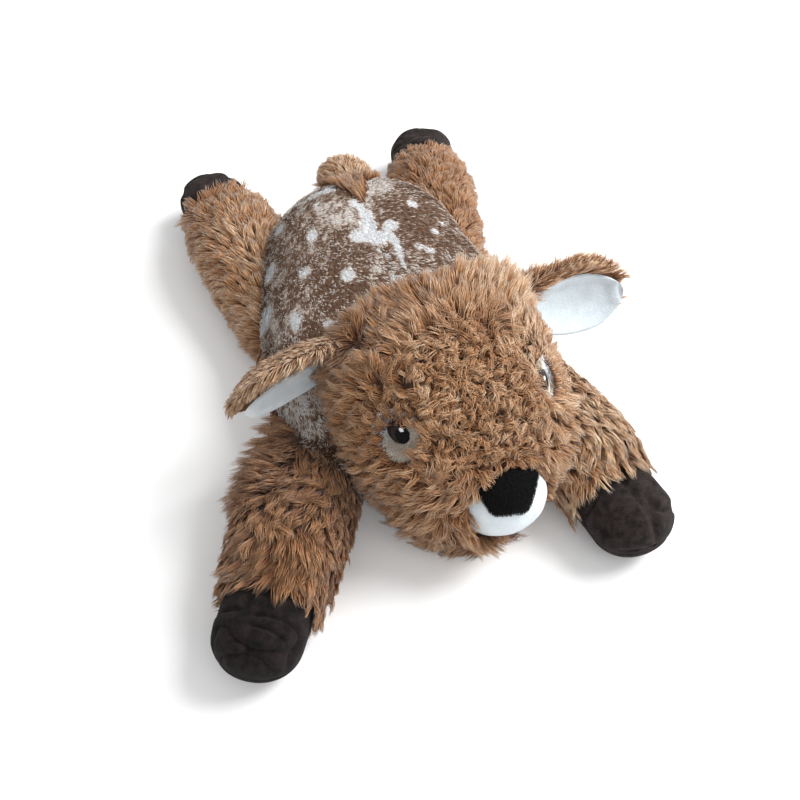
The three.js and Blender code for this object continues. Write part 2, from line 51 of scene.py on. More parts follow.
# Driving sizes, as in the sewn toy, in millimetres and degrees; a list holds (share along, value) pairs
BODY = {"rear": 112, "length": 226, "half_width": 87, "seam": 32, "crown": 50, "valley": 3,
        "valley_width": 9}
BODY_WIDTHS = [(0, 0.64), (0.2, 0.77), (0.37, 0.88), (0.55, 0.98), (0.8, 1), (0.93, 0.95), (1, 0.86)]
BODY_LEFT = [(0, 1), (0.2, 0.93), (0.4, 0.85), (0.6, 0.87), (0.8, 0.94), (1, 1)]
BODY_RISES = [(0, 0.78), (0.2, 0.92), (0.5, 1), (0.68, 0.93), (0.82, 0.72), (1, 0.6)]
HEAD = {"middle": (4, -110), "turn": 6, "back": 66, "length": 132, "half_width": 61}
HEAD_WIDTHS = [(0, 0.82), (0.2, 0.95), (0.4, 1), (0.55, 0.98), (0.7, 0.89), (0.82, 0.74), (0.92, 0.54),
               (1, 0.42)]
HEAD_AXIS = [(0, 66), (0.3, 62), (0.5, 57), (0.7, 50), (0.85, 42), (1, 36)]
HEAD_TOP = [(0, 99), (0.15, 106), (0.35, 109), (0.5, 106), (0.65, 97), (0.8, 79), (0.9, 61), (1, 50)]
HEAD_BASE = [(0, 40), (0.15, 32), (0.35, 19), (0.5, 9), (0.62, 3), (0.75, 0), (0.9, 0), (1, 9)]
MUZZLE = {"ahead": 54, "aside": 2.5, "height": 41, "half_width": 25, "half_depth": 20, "half_height": 21}
NOSE = {"half_top": 20, "half_base": 9, "height": 22, "pitch": 66, "roll": -14, "aside": -2.5, "thick": 2.4}
EYE = {"ahead": 17, "side": 38, "height": 78, "facing": (0.8, -0.38, 0.46), "hollow": (13.5, 11.5, 9)}
EAR = {"length": 70, "half_width": 19, "cup": 9, "bend": 5, "fur_wall": 6, "lining_wall": 2.4}
EAR_WIDTHS = [(0, 0.52), (0.35, 0.92), (0.62, 1), (0.85, 0.84), (1, 0.7)]
EARS = {
    "right": {"side": -1, "root": (-42, -47, 84), "droop": 8, "sweep": -2, "roll": 70},
    "left": {"side": 1, "root": (-36, 54, 75), "droop": 6, "sweep": 3, "roll": -122},
}
LEG = {"root_radius": 26, "root_half_height": 20, "root_height": 21.2, "half_height": 24, "hoof_back": 25,
       "hoof_tip": 18, "hoof_half_width": 24.5, "hoof_half_height": 20.5, "tip_round": 22}
LEGS = {
    "front_right": {"root": (-70, -93), "angle": -31, "length": 119, "half_width": 29},
    "front_left": {"root": (63, -77), "angle": 9.5, "length": 114, "half_width": 29},
    "hind_right": {"root": (-66, 15), "angle": -171.5, "length": 145, "half_width": 29},
    "hind_left": {"root": (48, 20), "angle": 168, "length": 148, "half_width": 28},
}
TAIL = {"root": (4, 103, 48), "length": 28, "half_width": 17, "half_thickness": 7, "rise": 12,
        "root_radius": 7.5}
TAIL_WIDTHS = [(0, 0.6), (0.5, 1), (1, 0.9)]
PLASTIC = 1.32471795724  # root of x ** 3 = x + 1; steps by its powers spread points evenly
FLOOR_GAP = 0.2  # millimetres that cloth keeps off the floor
PILE_GAP = 0.25  # the same for a strand


# Curves and noise

def through(pairs, place):
    """Cubic Hermite curve through (place, value) pairs, its slopes taken from the neighbours."""
    xs, ys = np.array(pairs, float).T
    last = len(xs) - 1
    k = np.clip(np.searchsorted(xs, place, side="right") - 1, 0, last - 1)
    before, after = np.maximum(np.arange(last + 1) - 1, 0), np.minimum(np.arange(last + 1) + 1, last)
    slope = (ys[after] - ys[before]) / (xs[after] - xs[before])
    span = xs[k + 1] - xs[k]
    t = np.clip((place - xs[k]) / span, 0, 1)
    return (ys[k] * (1 + 2 * t) * (1 - t) ** 2 + ys[k + 1] * t * t * (3 - 2 * t)
            + span * t * (1 - t) * (slope[k] * (1 - t) - slope[k + 1] * t))


def rounded(place, reach):
    """Quarter circle: 0 at the end, 1 from reach on."""
    near = np.clip(place / reach, 0, 1)
    return np.sqrt(np.maximum(1 - (1 - near) ** 2, 0))


def caps(u, first, last):
    """Quarter circles at both ends, over these shares of the length."""
    return np.minimum(rounded(u, first), rounded(1 - u, last))


def smooth(value, low, high):
    """Smooth step from 0 at low to 1 at high."""
    t = np.clip((value - low) / (high - low), 0, 1)
    return t * t * (3 - 2 * t)


def bell(value, width):
    """Gaussian: 1 at 0 and 1/e at one width away."""
    return np.exp(-((value / width) ** 2))


def vectors(*parts):
    """Rows of x, y and z, from three numbers or arrays."""
    return np.stack(np.broadcast_arrays(*parts), -1)


def unit(v):
    return v / np.maximum(np.linalg.norm(v, axis=-1, keepdims=True), 1e-9)


def lattice(cell):
    """A number from 0 to 1 for each whole-numbered cell, the fraction of a large sine."""
    value = np.sin(cell @ np.array([127.1, 311.7, 74.7])) * 43758.5453
    return value - np.floor(value)


def noise(p, size, seed=0):
    """Value noise from -1 to 1: numbers on a lattice of cells of that size, smoothly blended."""
    q = p / size + seed * 17.37
    cell = np.floor(q)
    f = q - cell
    f = f * f * (3 - 2 * f)
    total = 0
    for corner in np.ndindex(2, 2, 2):
        c = np.array(corner)
        share = np.prod(np.where(c == 1, f, 1 - f), axis=-1)
        total = total + share * lattice(cell + c)
    return 2 * total - 1


# Forms

def axes_of(angle):
    """Columns are a form's own ahead, left and up, for a heading in degrees from -Y towards +X."""
    a = math.radians(angle)
    return np.array([[math.sin(a), math.cos(a), 0], [-math.cos(a), math.sin(a), 0], [0, 0, 1]])


class Shape:
    """A surface given by points(u, t), with its own origin and axes where it has a place of its own."""
    step = 2e-3

    def __init__(self, origin, axes):
        self.origin, self.axes = np.array(origin, float), axes

    def world(self, *local):
        return vectors(*local) @ self.axes.T + self.origin

    def local(self, p):
        return (p - self.origin) @ self.axes

    def normals(self, u, t):
        """Cross product of the two central differences."""
        h = self.step
        u = np.clip(u, 4 * h, 1 - 4 * h)
        du = self.points(u + h, t) - self.points(u - h, t)
        dt = self.points(u, t + h) - self.points(u, t - h)
        return unit(np.cross(dt, du))


class Form(Shape):
    """A stuffed form: at share u along its length the section is a superellipse with half width w,
    rise and fall about its axis, and t goes once round it from the form's own left over the top."""
    step = 1e-3

    def __init__(self, origin, axes, start, length, section):
        super().__init__(origin, axes)
        self.start, self.length, self.section = start, length, section

    def points(self, u, t):
        s = self.section(u)
        c, n = np.cos(2 * np.pi * t), np.sin(2 * np.pi * t)
        p = 2 / np.where(n > 0, s["top"], s["base"])
        across = s["w"] * np.where(c > 0, s["left"], 1) * np.sign(c) * np.abs(c) ** p
        tall = np.where(n > 0, s["rise"], s["fall"]) * np.sign(n) * np.abs(n) ** p
        furrow = np.where(n > 0, s["furrow"] * bell(across, s["furrow_width"]), 0)
        return self.world(self.start + u * self.length, across, s["z"] + tall - furrow)

    def level(self, p):
        """Below 1 inside the form, 1 on its surface."""
        q = self.local(p)
        u = (q[..., 0] - self.start) / self.length
        s = self.section(np.clip(u, 0.002, 0.998))
        h = q[..., 2] - s["z"]
        power = np.where(h > 0, s["top"], s["base"])
        tall = np.maximum(np.where(h > 0, s["rise"], s["fall"]), 1e-3)
        half = np.maximum(s["w"] * np.where(q[..., 1] > 0, s["left"], 1), 1e-3)
        value = (np.abs(q[..., 1]) / half) ** power + (np.abs(h) / tall) ** power
        return np.where((u < 0) | (u > 1), 9.0, value ** (1 / power))


def section(z, w, rise, fall, ends, top, base=None, furrow=0, furrow_width=1, left=1):
    """One section: its axis height, its half sizes scaled by ends, its powers above and below the axis,
    the furrow along its top and how wide its left half is beside its right one."""
    return {"z": z, "w": w * ends, "rise": rise * ends, "fall": fall * ends, "top": top, "base": base or top,
            "furrow": furrow * ends, "furrow_width": furrow_width, "left": left}


def body_section(u):
    return section(BODY["seam"], BODY["half_width"] * through(BODY_WIDTHS, u),
                   BODY["crown"] * through(BODY_RISES, u), BODY["seam"], caps(u, 0.26, 0.12), 2.1, 2.7,
                   BODY["valley"], BODY["valley_width"], through(BODY_LEFT, u))


def head_section(u):
    z = through(HEAD_AXIS, u)
    return section(z, HEAD["half_width"] * through(HEAD_WIDTHS, u), through(HEAD_TOP, u) - z,
                   z - through(HEAD_BASE, u), caps(u, 0.17, 0.13), 2.15)


def leg_section(leg):
    """Half sizes along a leg: a ball at its root, a tube that swells, then the hoof."""
    ankle = leg["length"] - LEG["hoof_back"]
    tip = leg["length"] + LEG["hoof_tip"]

    def sized(x, root, full, hoof):
        return through([(0, root), (0.5 * ankle, full), (0.8 * ankle, full), (ankle, hoof), (tip, hoof)], x)

    def at(u):
        x = u * (tip + LEG["root_radius"]) - LEG["root_radius"]
        beyond = np.maximum(x, 0)
        w = sized(beyond, LEG["root_radius"], leg["half_width"], LEG["hoof_half_width"])
        h = sized(beyond, LEG["root_half_height"], LEG["half_height"], LEG["hoof_half_height"])
        ball = np.sqrt(np.maximum(1 - (np.minimum(x, 0) / LEG["root_radius"]) ** 2, 0))
        settled = smooth(beyond, 0, 0.5 * ankle)
        z = LEG["root_height"] * (1 - settled) + h * settled
        return section(z, w, h, h, ball * rounded(tip - x, LEG["tip_round"]), 2.2)
    return at


def tail_section(u):
    thick = TAIL["half_thickness"]
    return section(0, TAIL["half_width"] * through(TAIL_WIDTHS, u), thick, thick, caps(u, 0.3, 0.45), 2.0)


def turn(axis, degrees):
    """Rotation matrix about a local axis, 0 for X, 1 for Y and 2 for Z."""
    c, s = math.cos(math.radians(degrees)), math.sin(math.radians(degrees))
    i, j = (axis + 1) % 3, (axis + 2) % 3
    m = np.eye(3)
    m[i, i], m[i, j], m[j, i], m[j, j] = c, -s, s, c
    return m


body = Form((0, BODY["rear"], 0), axes_of(0), 0, BODY["length"], body_section)
head = Form((*HEAD["middle"], 0), axes_of(HEAD["turn"]), -HEAD["back"], HEAD["length"], head_section)
tail = Form(TAIL["root"], axes_of(180) @ turn(1, -TAIL["rise"]), -TAIL["root_radius"],
            TAIL["length"] + TAIL["root_radius"], tail_section)
legs = {name: Form((*leg["root"], 0), axes_of(leg["angle"]), -LEG["root_radius"],
                   leg["length"] + LEG["hoof_tip"] + LEG["root_radius"], leg_section(leg))
        for name, leg in LEGS.items()}
muzzle_middle = head.world(MUZZLE["ahead"], MUZZLE["aside"], MUZZLE["height"])
muzzle_radii = np.array([MUZZLE["half_depth"], MUZZLE["half_width"], MUZZLE["half_height"]], float)


class Leaf(Shape):
    """An ear: a cupped leaf from root to tip, hollow towards its own -Z. t goes round its edge."""

    def __init__(self, ear):
        axes = head.axes @ turn(2, ear["side"] * (90 + ear["sweep"]))
        super().__init__(head.world(*ear["root"]), axes @ turn(1, ear["droop"]) @ turn(0, ear["roll"]))
        self.upper = math.copysign(1, self.axes[2, 1])  # which way across it is up

    def shares(self, p):
        """Share along the ear, and share across it from -1 at its lower edge to 1 at its upper edge."""
        q = self.local(p)
        along = np.clip(q[..., 0] / EAR["length"], 0, 1)
        return along, q[..., 1] * self.upper / (EAR["half_width"] * through(EAR_WIDTHS, along))

    def points(self, u, t, thick=EAR["fur_wall"], offset=0.0, margin=0.0, start=0.0, cut=0.0, short=0.0):
        """cut lowers the upper edge by that share of the half width, short ends the leaf before its tip."""
        half = (EAR["half_width"] * through(EAR_WIDTHS, u) - margin) * caps(u, 0.12, 0.3)
        across, side = np.cos(2 * np.pi * t), np.sin(2 * np.pi * t)
        across = across - cut * self.upper * (1 + self.upper * across) / 2
        bulge = caps(u, 0.12, 0.2) * (thick / 2)
        arch = np.sqrt(np.sin(np.pi * np.clip(u, 0, 1)))
        cup = EAR["cup"] * (1 - across ** 2) * arch - EAR["bend"] * u * u
        along = start + u * (EAR["length"] - start - margin - short)
        return self.world(along, across * half, cup + offset + bulge * side)


ears = {name: Leaf(ear) for name, ear in EARS.items()}


class Sheet(Shape):
    """A surface given by a function alone, for pile to grow on."""

    def __init__(self, points):
        self.points = points


# Meshes

def mesh_from(name, points, faces, attributes=(), corner_uv=None):
    """A mesh from whole arrays: points in millimetres, faces as rows of 3 or 4 corners."""
    mesh = bpy.data.meshes.new(name)
    mesh.vertices.add(len(points))
    mesh.vertices.foreach_set("co", (np.asarray(points) * MM).astype(np.float32).ravel())
    corners = np.concatenate([np.asarray(f).ravel() for f in faces])
    sizes = np.concatenate([np.full(len(f), np.shape(f)[1]) for f in faces])
    mesh.loops.add(len(corners))
    mesh.loops.foreach_set("vertex_index", corners.astype(np.int32))
    mesh.polygons.add(len(sizes))
    mesh.polygons.foreach_set("loop_start", (np.cumsum(sizes) - sizes).astype(np.int32))
    mesh.polygons.foreach_set("use_smooth", np.ones(len(sizes), bool))
    for key, values in attributes:
        layer = mesh.attributes.new(key, "FLOAT", "POINT")
        layer.data.foreach_set("value", np.asarray(values, np.float32))
    if corner_uv is not None:
        layer = mesh.uv_layers.new(name="OFBake")
        layer.data.foreach_set("uv", corner_uv[corners].astype(np.float32).ravel())
    mesh.update(calc_edges=True)
    mesh.validate()
    made = bpy.data.objects.new(name, mesh)
    bpy.context.scene.collection.objects.link(made)
    return made


def skin(name, surface, us, sides, t_from=0.0, t_to=1.0, attributes=None):
    """A grid over u and t. A full turn closes on itself, and an end that shrinks to a point closes there."""
    whole = abs(t_to - t_from - 1) < 1e-9
    ts = np.linspace(t_from, t_to, sides + 1)[:sides if whole else sides + 1]
    p = surface(*np.meshgrid(us, ts, indexing="ij"))
    p[..., 2] = np.maximum(p[..., 2], FLOOR_GAP)
    ids = np.arange(p[..., 0].size).reshape(p.shape[:2])
    wide = np.concatenate([ids, ids[:, :1]], 1) if whole else ids
    quads = np.stack([wide[:-1, :-1], wide[:-1, 1:], wide[1:, 1:], wide[1:, :-1]], -1).reshape(-1, 4)
    flat = p.reshape(-1, 3)
    made = mesh_from(name, flat, [quads], attributes(flat) if attributes else ())
    weld(made, 0.02)
    return made


def weld(made, reach):
    """Merges points that lie together, such as a pole's."""
    work = bmesh.new()
    work.from_mesh(made.data)
    bmesh.ops.remove_doubles(work, verts=work.verts, dist=reach * MM)
    work.to_mesh(made.data)
    work.free()
    made.data.update()


def end_spaced(count, low=0.0, high=1.0):
    """Shares closer together towards both ends."""
    return low + (high - low) * (1 - np.cos(np.pi * np.arange(count + 1) / count)) / 2


# Fur

def scatter(form, density, low, high, cells=150):
    """Roots spread evenly: an additive recurrence in two numbers, bent through the running sums of
    cell areas times density, in strands per square millimetre. Returns u and t for each root."""
    u = np.linspace(low, high, cells + 1)
    t = np.linspace(0, 1, cells + 1)
    grid = form.points(*np.meshgrid(u, t, indexing="ij"))
    area = np.linalg.norm(np.cross(grid[1:, :-1] - grid[:-1, :-1], grid[:-1, 1:] - grid[:-1, :-1]), axis=-1)
    mid = np.meshgrid((u[1:] + u[:-1]) / 2, (t[1:] + t[:-1]) / 2, indexing="ij")
    weight = area * np.maximum(density(form.points(*mid), form.normals(*mid)), 0)
    count = int(weight.sum())
    k = np.arange(count)
    first, second = (0.5 + k / PLASTIC) % 1, (0.5 + k / PLASTIC ** 2) % 1
    rows = np.concatenate([[0], np.cumsum(weight.sum(1))])
    rows /= rows[-1]
    row = np.clip(np.searchsorted(rows, first, side="right") - 1, 0, cells - 1)
    span = np.maximum(rows[row + 1] - rows[row], 1e-12)
    u_root = u[row] + (u[row + 1] - u[row]) * (first - rows[row]) / span
    columns = np.cumsum(weight, 1)
    columns /= np.maximum(columns[:, -1:], 1e-12)
    stacked = (columns + np.arange(cells)[:, None]).ravel()
    at = np.clip(np.searchsorted(stacked, row + second * 0.999999), 0, len(stacked) - 1)
    column = at - row * cells
    before = np.where(column > 0, columns[row, np.maximum(column - 1, 0)], 0)
    share = np.clip((second - before) / np.maximum(columns[row, column] - before, 1e-12), 0, 1)
    return u_root, (column + share) / cells


def nearest(points, guides):
    """Index of the guide nearest to each point: least squared distance, worked out a block at a time."""
    size = 2048
    squares = (guides ** 2).sum(1)
    blocks = [points[k:k + size] for k in range(0, len(points), size)]
    return np.concatenate([np.argmin(squares - 2 * block @ guides.T, axis=1) for block in blocks])


def arc(root, normal, lay, length, lean, s):
    """A strand that leans from lean[0] off the normal at its root to lean[1] at its tip: a circular arc."""
    low, high = lean
    change = np.where(np.abs(high - low) < 1e-3, 1e-3, high - low)
    now = low[:, None] + change[:, None] * s
    up = (np.sin(now) - np.sin(low)[:, None]) / change[:, None]
    out = -(np.cos(now) - np.cos(low)[:, None]) / change[:, None]
    step = up[..., None] * normal[:, None] + out[..., None] * lay[:, None]
    return root[:, None] + length[:, None, None] * step


def style(length, lean, width, **more):
    """The numbers of one pile, each a number or a function of the roots, in millimetres and degrees: its
    lean off the normal at root and tip, how far a lock curls, turns and draws together (pull), the waver
    of one strand (frizz), its shade, and how its lay swings in swirls, lock by lock and on its own."""
    return {"length": length, "lean_root": lean[0], "lean_tip": lean[1], "width": width, "curl": 0.0,
            "turns": 0.0, "pull": 0.5, "frizz": 0.4, "tint": 0.5, "swirl": 24, "stray": 20, "own": 9,
            "per_lock": 8, **more}


def coat(form, density, lay, style, seed, low=0.004, high=0.996, keep=None):
    """Roots and per-root numbers of one stretch of pile. Each strand belongs to the nearest guide, and the
    guides are the first roots, which are spread evenly too. Lock and strand each vary a little by chance."""
    rng = np.random.default_rng(seed)
    u, t = scatter(form, density, low, high)
    p, n = form.points(u, t), form.normals(u, t)
    if keep is not None:
        kept = keep(p)
        p, n = p[kept], n[kept]
    c = {key: np.broadcast_to(value(p) if callable(value) else value, len(p)).astype(float)
         for key, value in style.items()}
    direction = lay(p)
    direction = unit(direction - (direction * n).sum(1, keepdims=True) * n)
    guides = max(4, int(len(p) / style["per_lock"]))
    home = nearest(p, p[:guides])
    swing = np.radians(c["swirl"]) * (noise(p, 26, seed) + 0.6 * noise(p, 9, seed + 3))
    swing = swing + np.radians(c["stray"]) * rng.uniform(-1, 1, guides)[home]
    swing = swing + np.radians(c["own"]) * rng.uniform(-1, 1, len(p))
    side = np.cross(n, direction)
    direction = direction * np.cos(swing)[:, None] + side * np.sin(swing)[:, None]
    lock = rng.uniform(-1, 1, (guides, 3))[home]
    own = rng.uniform(-1, 1, (len(p), 3))
    shade = c["tint"] + 0.14 * lock[:, 0] + 0.2 * own[:, 2] + 0.12 * noise(p, 18, seed + 9)
    c.update(p=p, n=n, lay=direction, home=home, tint=np.clip(shade, 0.01, 0.98),
             length=c["length"] * (1 + 0.2 * lock[:, 0] + 0.16 * own[:, 0]),
             lean=[np.radians(c["lean_root"] + 9 * lock[:, 1] + 8 * own[:, 1]),
                   np.radians(c["lean_tip"] + 14 * lock[:, 2] + 9 * own[:, 2])],
             phase=rng.uniform(0, 2 * np.pi, guides)[home] + 0.5 * own[:, 0],
             own_phase=rng.uniform(0, 2 * np.pi, len(p)),
             chance=0.5 + 0.26 * lock[:, 2] + 0.26 * own[:, 1])
    return c


def strands(name, c, rings, droop=0.0, flat=0.55):
    """Tapering three-sided strands along their arcs. Each is drawn towards its lock's middle strand and
    curls with it in a helix; the attributes are its tint and the share along it."""
    s = np.linspace(0, 1, rings + 1)
    line = arc(c["p"], c["n"], c["lay"], c["length"], c["lean"], s)
    line[..., 2] -= droop * c["length"][:, None] * s ** 2
    home = c["home"]
    ease = (c["pull"][:, None] * s ** 0.9)[..., None]
    start = (c["p"] - c["p"][home])[:, None]
    line = line + ease * (line[home] + start * (1 - 0.85 * s[:, None]) - line)
    side = unit(np.cross(c["n"], c["lay"]))
    angle = c["turns"][:, None] * 2 * np.pi * s + c["phase"][:, None]
    reach = (c["curl"][:, None] * np.minimum(2.2 * s, 1))[..., None]
    helix = np.cos(angle)[..., None] * side[:, None] + np.sin(angle)[..., None] * c["n"][:, None]
    line = line + reach * helix
    wave = (c["frizz"][:, None] * s)[..., None]
    line = line + wave * np.sin(7 * s + c["own_phase"][:, None])[..., None] * side[:, None]
    along = unit(np.gradient(line, axis=1))
    across = unit(np.cross(along, np.broadcast_to(c["n"][:, None], along.shape) + 1e-3))
    across = unit(across + 0.35 * side[:, None])
    across = unit(across - (across * along).sum(-1, keepdims=True) * along)
    over = np.cross(along, across)
    taper = (1 - 0.55 * s[:-1] ** 1.5 - 0.25 * s[:-1] ** 6)[None, :, None, None]
    wide = c["width"][:, None, None, None] * taper
    corners = np.radians([90, 210, 330])
    ring = line[:, :-1, None] + wide * (np.cos(corners)[:, None] * across[:, :-1, None]
                                        + flat * np.sin(corners)[:, None] * over[:, :-1, None])
    count = len(ring)
    points = np.concatenate([ring.reshape(count, -1, 3), line[:, -1:]], 1)
    points[..., 2] = np.maximum(points[..., 2], PILE_GAP)
    each = 3 * rings + 1
    base = (np.arange(count) * each)[:, None, None]
    i, j = np.meshgrid(np.arange(rings - 1), np.arange(3), indexing="ij")
    k = (j + 1) % 3
    quad = np.stack([3 * i + j, 3 * i + k, 3 * i + 3 + k, 3 * i + 3 + j], -1).reshape(-1, 4)
    top = 3 * (rings - 1)
    tip = np.array([[top + j, top + (j + 1) % 3, top + 3] for j in range(3)])
    root = np.array([[2, 1, 0]])
    faces = [(base + quad).reshape(-1, 4), (base + tip).reshape(-1, 3), (base + root).reshape(-1, 3)]
    share = np.concatenate([np.repeat(s[:-1], 3), [1.0]])
    tint = np.repeat(c["tint"], each)
    uv = np.stack([tint + np.tile(np.concatenate([np.tile([0, 0.004, 0.008], rings), [0.004]]), count),
                   np.tile(0.005 + 0.99 * share, count)], -1)
    return mesh_from(name, points.reshape(-1, 3), faces,
                     (("tint", tint), ("along", np.tile(share, count))), uv)


# Materials

def linear(code):
    """sRGB hex to linear colour."""
    c = np.array([int(code[k:k + 2], 16) for k in (1, 3, 5)]) / 255
    return (*np.where(c <= 0.04045, c / 12.92, ((c + 0.055) / 1.055) ** 2.4), 1.0)


class Surface:
    """A new material and its main shader."""

    def __init__(self, name, roughness, **sockets):
        self.material = bpy.data.materials.new(name)
        self.material.use_nodes = True
        self.tree = self.material.node_tree
        self.shader = self.tree.nodes["Principled BSDF"]
        self.shader.inputs["Roughness"].default_value = roughness
        for key, value in sockets.items():
            self.shader.inputs[key.replace("_", " ")].default_value = value

    def add(self, kind, inputs=None, stops=(), **settings):
        """One node with its settings, its constant inputs, the links into it and its ramp's stops."""
        node = self.tree.nodes.new("ShaderNode" + kind)
        for k, (place, code) in enumerate(stops):
            point = node.color_ramp.elements[k] if k < 2 else node.color_ramp.elements.new(place)
            point.position = place
            point.color = linear(code)
        for key, value in settings.items():
            setattr(node, key, value)
        for key, value in (inputs or {}).items():
            if isinstance(value, bpy.types.NodeSocket):
                self.tree.links.new(value, node.inputs[key])
            else:
                node.inputs[key].default_value = value
        return node

    def ramp(self, value, *stops):
        """The colour that runs through the stops as the value grows."""
        return self.add("ValToRGB", {"Fac": value}, stops).outputs["Color"]

    def own(self, key):
        """A strand's own number: tint is its shade, along the share along it."""
        return self.add("Attribute", attribute_name=key).outputs["Fac"]

    def mix(self, factor, a, b, way="MIX"):
        node = self.add("Mix", {"Factor": factor, "A": a, "B": b}, data_type="RGBA", blend_type=way)
        return node.outputs["Result"]

    def calc(self, way, a, b):
        return self.add("Math", {0: a, 1: b}, operation=way).outputs["Value"]

    def link(self, source, socket="Base Color"):
        self.tree.links.new(source, self.shader.inputs[socket])


def fur_material(name, root, middle, tip, pale):
    """Long polyester pile, crimped and brushed out: a dark root, painted shade deep in the pile, a lighter
    shaft and a pale tip; its fine fibres give the eye a soft sheen and no sharp highlight."""
    m = Surface(name, 0.62, Sheen_Weight=0.25, Sheen_Roughness=0.4, Specular_IOR_Level=0.28)
    tint, along = m.own("tint"), m.own("along")
    shaft = m.ramp(along, (0.0, root), (0.45, middle), (0.92, tip))
    shade = m.ramp(tint, (0.0, "#8f7a70"), (0.5, "#dccfc8"), (1.0, "#ffffff"))
    light = m.add("MapRange", {"Value": tint, "From Min": 0.62, "From Max": 1.0}).outputs["Result"]
    mixed = m.mix(1.0, shaft, shade, "MULTIPLY")
    m.link(m.mix(m.calc("MULTIPLY", light, along), mixed, linear(pale)))
    return m.material


def plush_material(name, dark, light, size_mm, depth_mm, roughness=0.8, sheen=0.5, spread=0.18):
    """Short plush, sheared level: a dense velvet whose pile leans in patches, so that the eye sees it
    mottled dark and light. The grain is size_mm wide and its patches nine times that."""
    m = Surface(name, roughness, Sheen_Weight=sheen, Sheen_Roughness=0.5, Specular_IOR_Level=0.2)
    place = m.add("TexCoord").outputs["Object"]
    grain, patches = (
        m.add("TexNoise", {"Vector": place, "Scale": 1 / (wide * size_mm * MM),
                           "Detail": detail}).outputs["Fac"] for wide, detail in ((1, 4.0), (9, 2.0)))
    half = m.calc("MULTIPLY", m.calc("ADD", grain, patches), 0.5)
    m.link(m.ramp(half, (0.5 - spread, dark), (0.5 + spread, light)))
    bump = m.add("Bump", {"Strength": 0.9, "Distance": depth_mm * MM, "Height": grain})
    m.link(bump.outputs["Normal"], "Normal")
    return m.material


def pile_material(name, roughness, sheen, shades, root, lit):
    """Short pile made strand by strand: each takes its colour from its tint, and is darkened by root up to
    the share lit of its length, where its neighbours shade it."""
    m = Surface(name, roughness, Sheen_Weight=sheen, Sheen_Roughness=0.5, Specular_IOR_Level=0.15)
    shade = m.ramp(m.own("tint"), *shades)
    shadow = m.ramp(m.own("along"), (0.0, root), (lit, "#ffffff"))
    m.link(m.mix(1.0, shade, shadow, "MULTIPLY"))
    return m.material


long_fur = fur_material("long_pile_polyester_fur", "#743e1a", "#c29060", "#e2bc92", "#f3dfc6")
# knitted backing of the fur: dull brown, with no sheen, seen only between locks
fur_backing = plush_material("fur_backing_knit", "#61422a", "#7c5a3e", 1.2, 0.4, 0.95, 0.0)
# brushed white plush: soft and faintly blue, with a light sheen
white_plush = plush_material("white_short_plush", "#d4dee4", "#e8eff4", 0.9, 0.35, 0.85, 0.3)
# a darker copy of it for the left ear's lining: painted shade, as that lining faces the lamp
lining_plush_painted_shade = plush_material("white_plush_painted_shade", "#bcc8cf", "#d6dfe5", 0.9, 0.35, 0.85, 0.3)
# crushed dark plush: nearly black in the folds, brown where its pile faces the light
hoof_plush = plush_material("dark_brown_short_plush", "#070404", "#3a302e", 0.5, 0.6, 0.9, 0.03, 0.14)
# a darker copy of it for the right front hoof: painted shade
hoof_plush_painted_shade = plush_material("dark_brown_short_plush_painted_shade", "#020101", "#251d1c", 0.5, 0.6, 0.9, 0.02,
                             0.12)
# sheared black plush: deep black, only its rim catching light
nose_plush = plush_material("black_short_plush", "#040405", "#0c0b0d", 0.7, 0.3, 0.8, 0.02)
# brushed grey beige plush that turns white behind the eye
patch_plush = pile_material("grey_beige_short_plush", 0.85, 0.1, [
    (0.0, "#a57e5a"), (0.3, "#cbb8a2"), (0.55, "#e0d6ca"), (0.85, "#fafdff")], "#dedede", 0.6)
# sheared pile printed after weaving: brown ground, cream streaks and white spots
printed_pile = pile_material("printed_short_pile", 0.8, 0.04, [
    (0.0, "#6a4d3a"), (0.25, "#937561"), (0.45, "#bfa996"), (0.6, "#e6d8cc"), (0.78, "#f6f0ea"),
    (0.92, "#fbfdff")], "#cccccc", 0.5)


def eye_material():
    """Satin embroidery, rayon thread laid side by side: a soft gloss; tint is the thread's colour, and its
    white top end is a painted highlight.
    """
    m = Surface("satin_stitch_thread", 0.5, Specular_IOR_Level=0.12)
    m.link(m.ramp(m.own("tint"), (0.0, "#060607"), (0.3, "#060607"), (0.36, "#171112"), (0.82, "#3d312f"),
                  (0.92, "#eef1f4")))
    return m.material


eye_thread = eye_material()


def wear(made, material, nodes=(), body=None, blend=None):
    """Gives a piece its material and hides the nodes that it stands for. It moves with its body's empty, or,
    where blend is given, has its place baked into its mesh.
    """
    made.data.materials.clear()
    made.data.materials.append(material)
    if nodes:
        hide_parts(*nodes)
    if blend:
        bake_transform(made)
    else:
        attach(made, body)
    return made


# Where a leg, an ear or the tail bends: the first point stays, the last one moves

def bend(still, moved, form, *places):
    """The two bodies, and the two points in metres."""
    return (still, moved, *(tuple(float(v) * MM for v in form.world(*place)) for place in places))


def leg_bend(name):
    return bend("body", "leg_" + name, legs[name], (-6, 0, 20), (34, 0, 20))


tail_bend = bend("body", "tail", tail, (-4, 0, 0), (14, 0, 0))


# The printed back

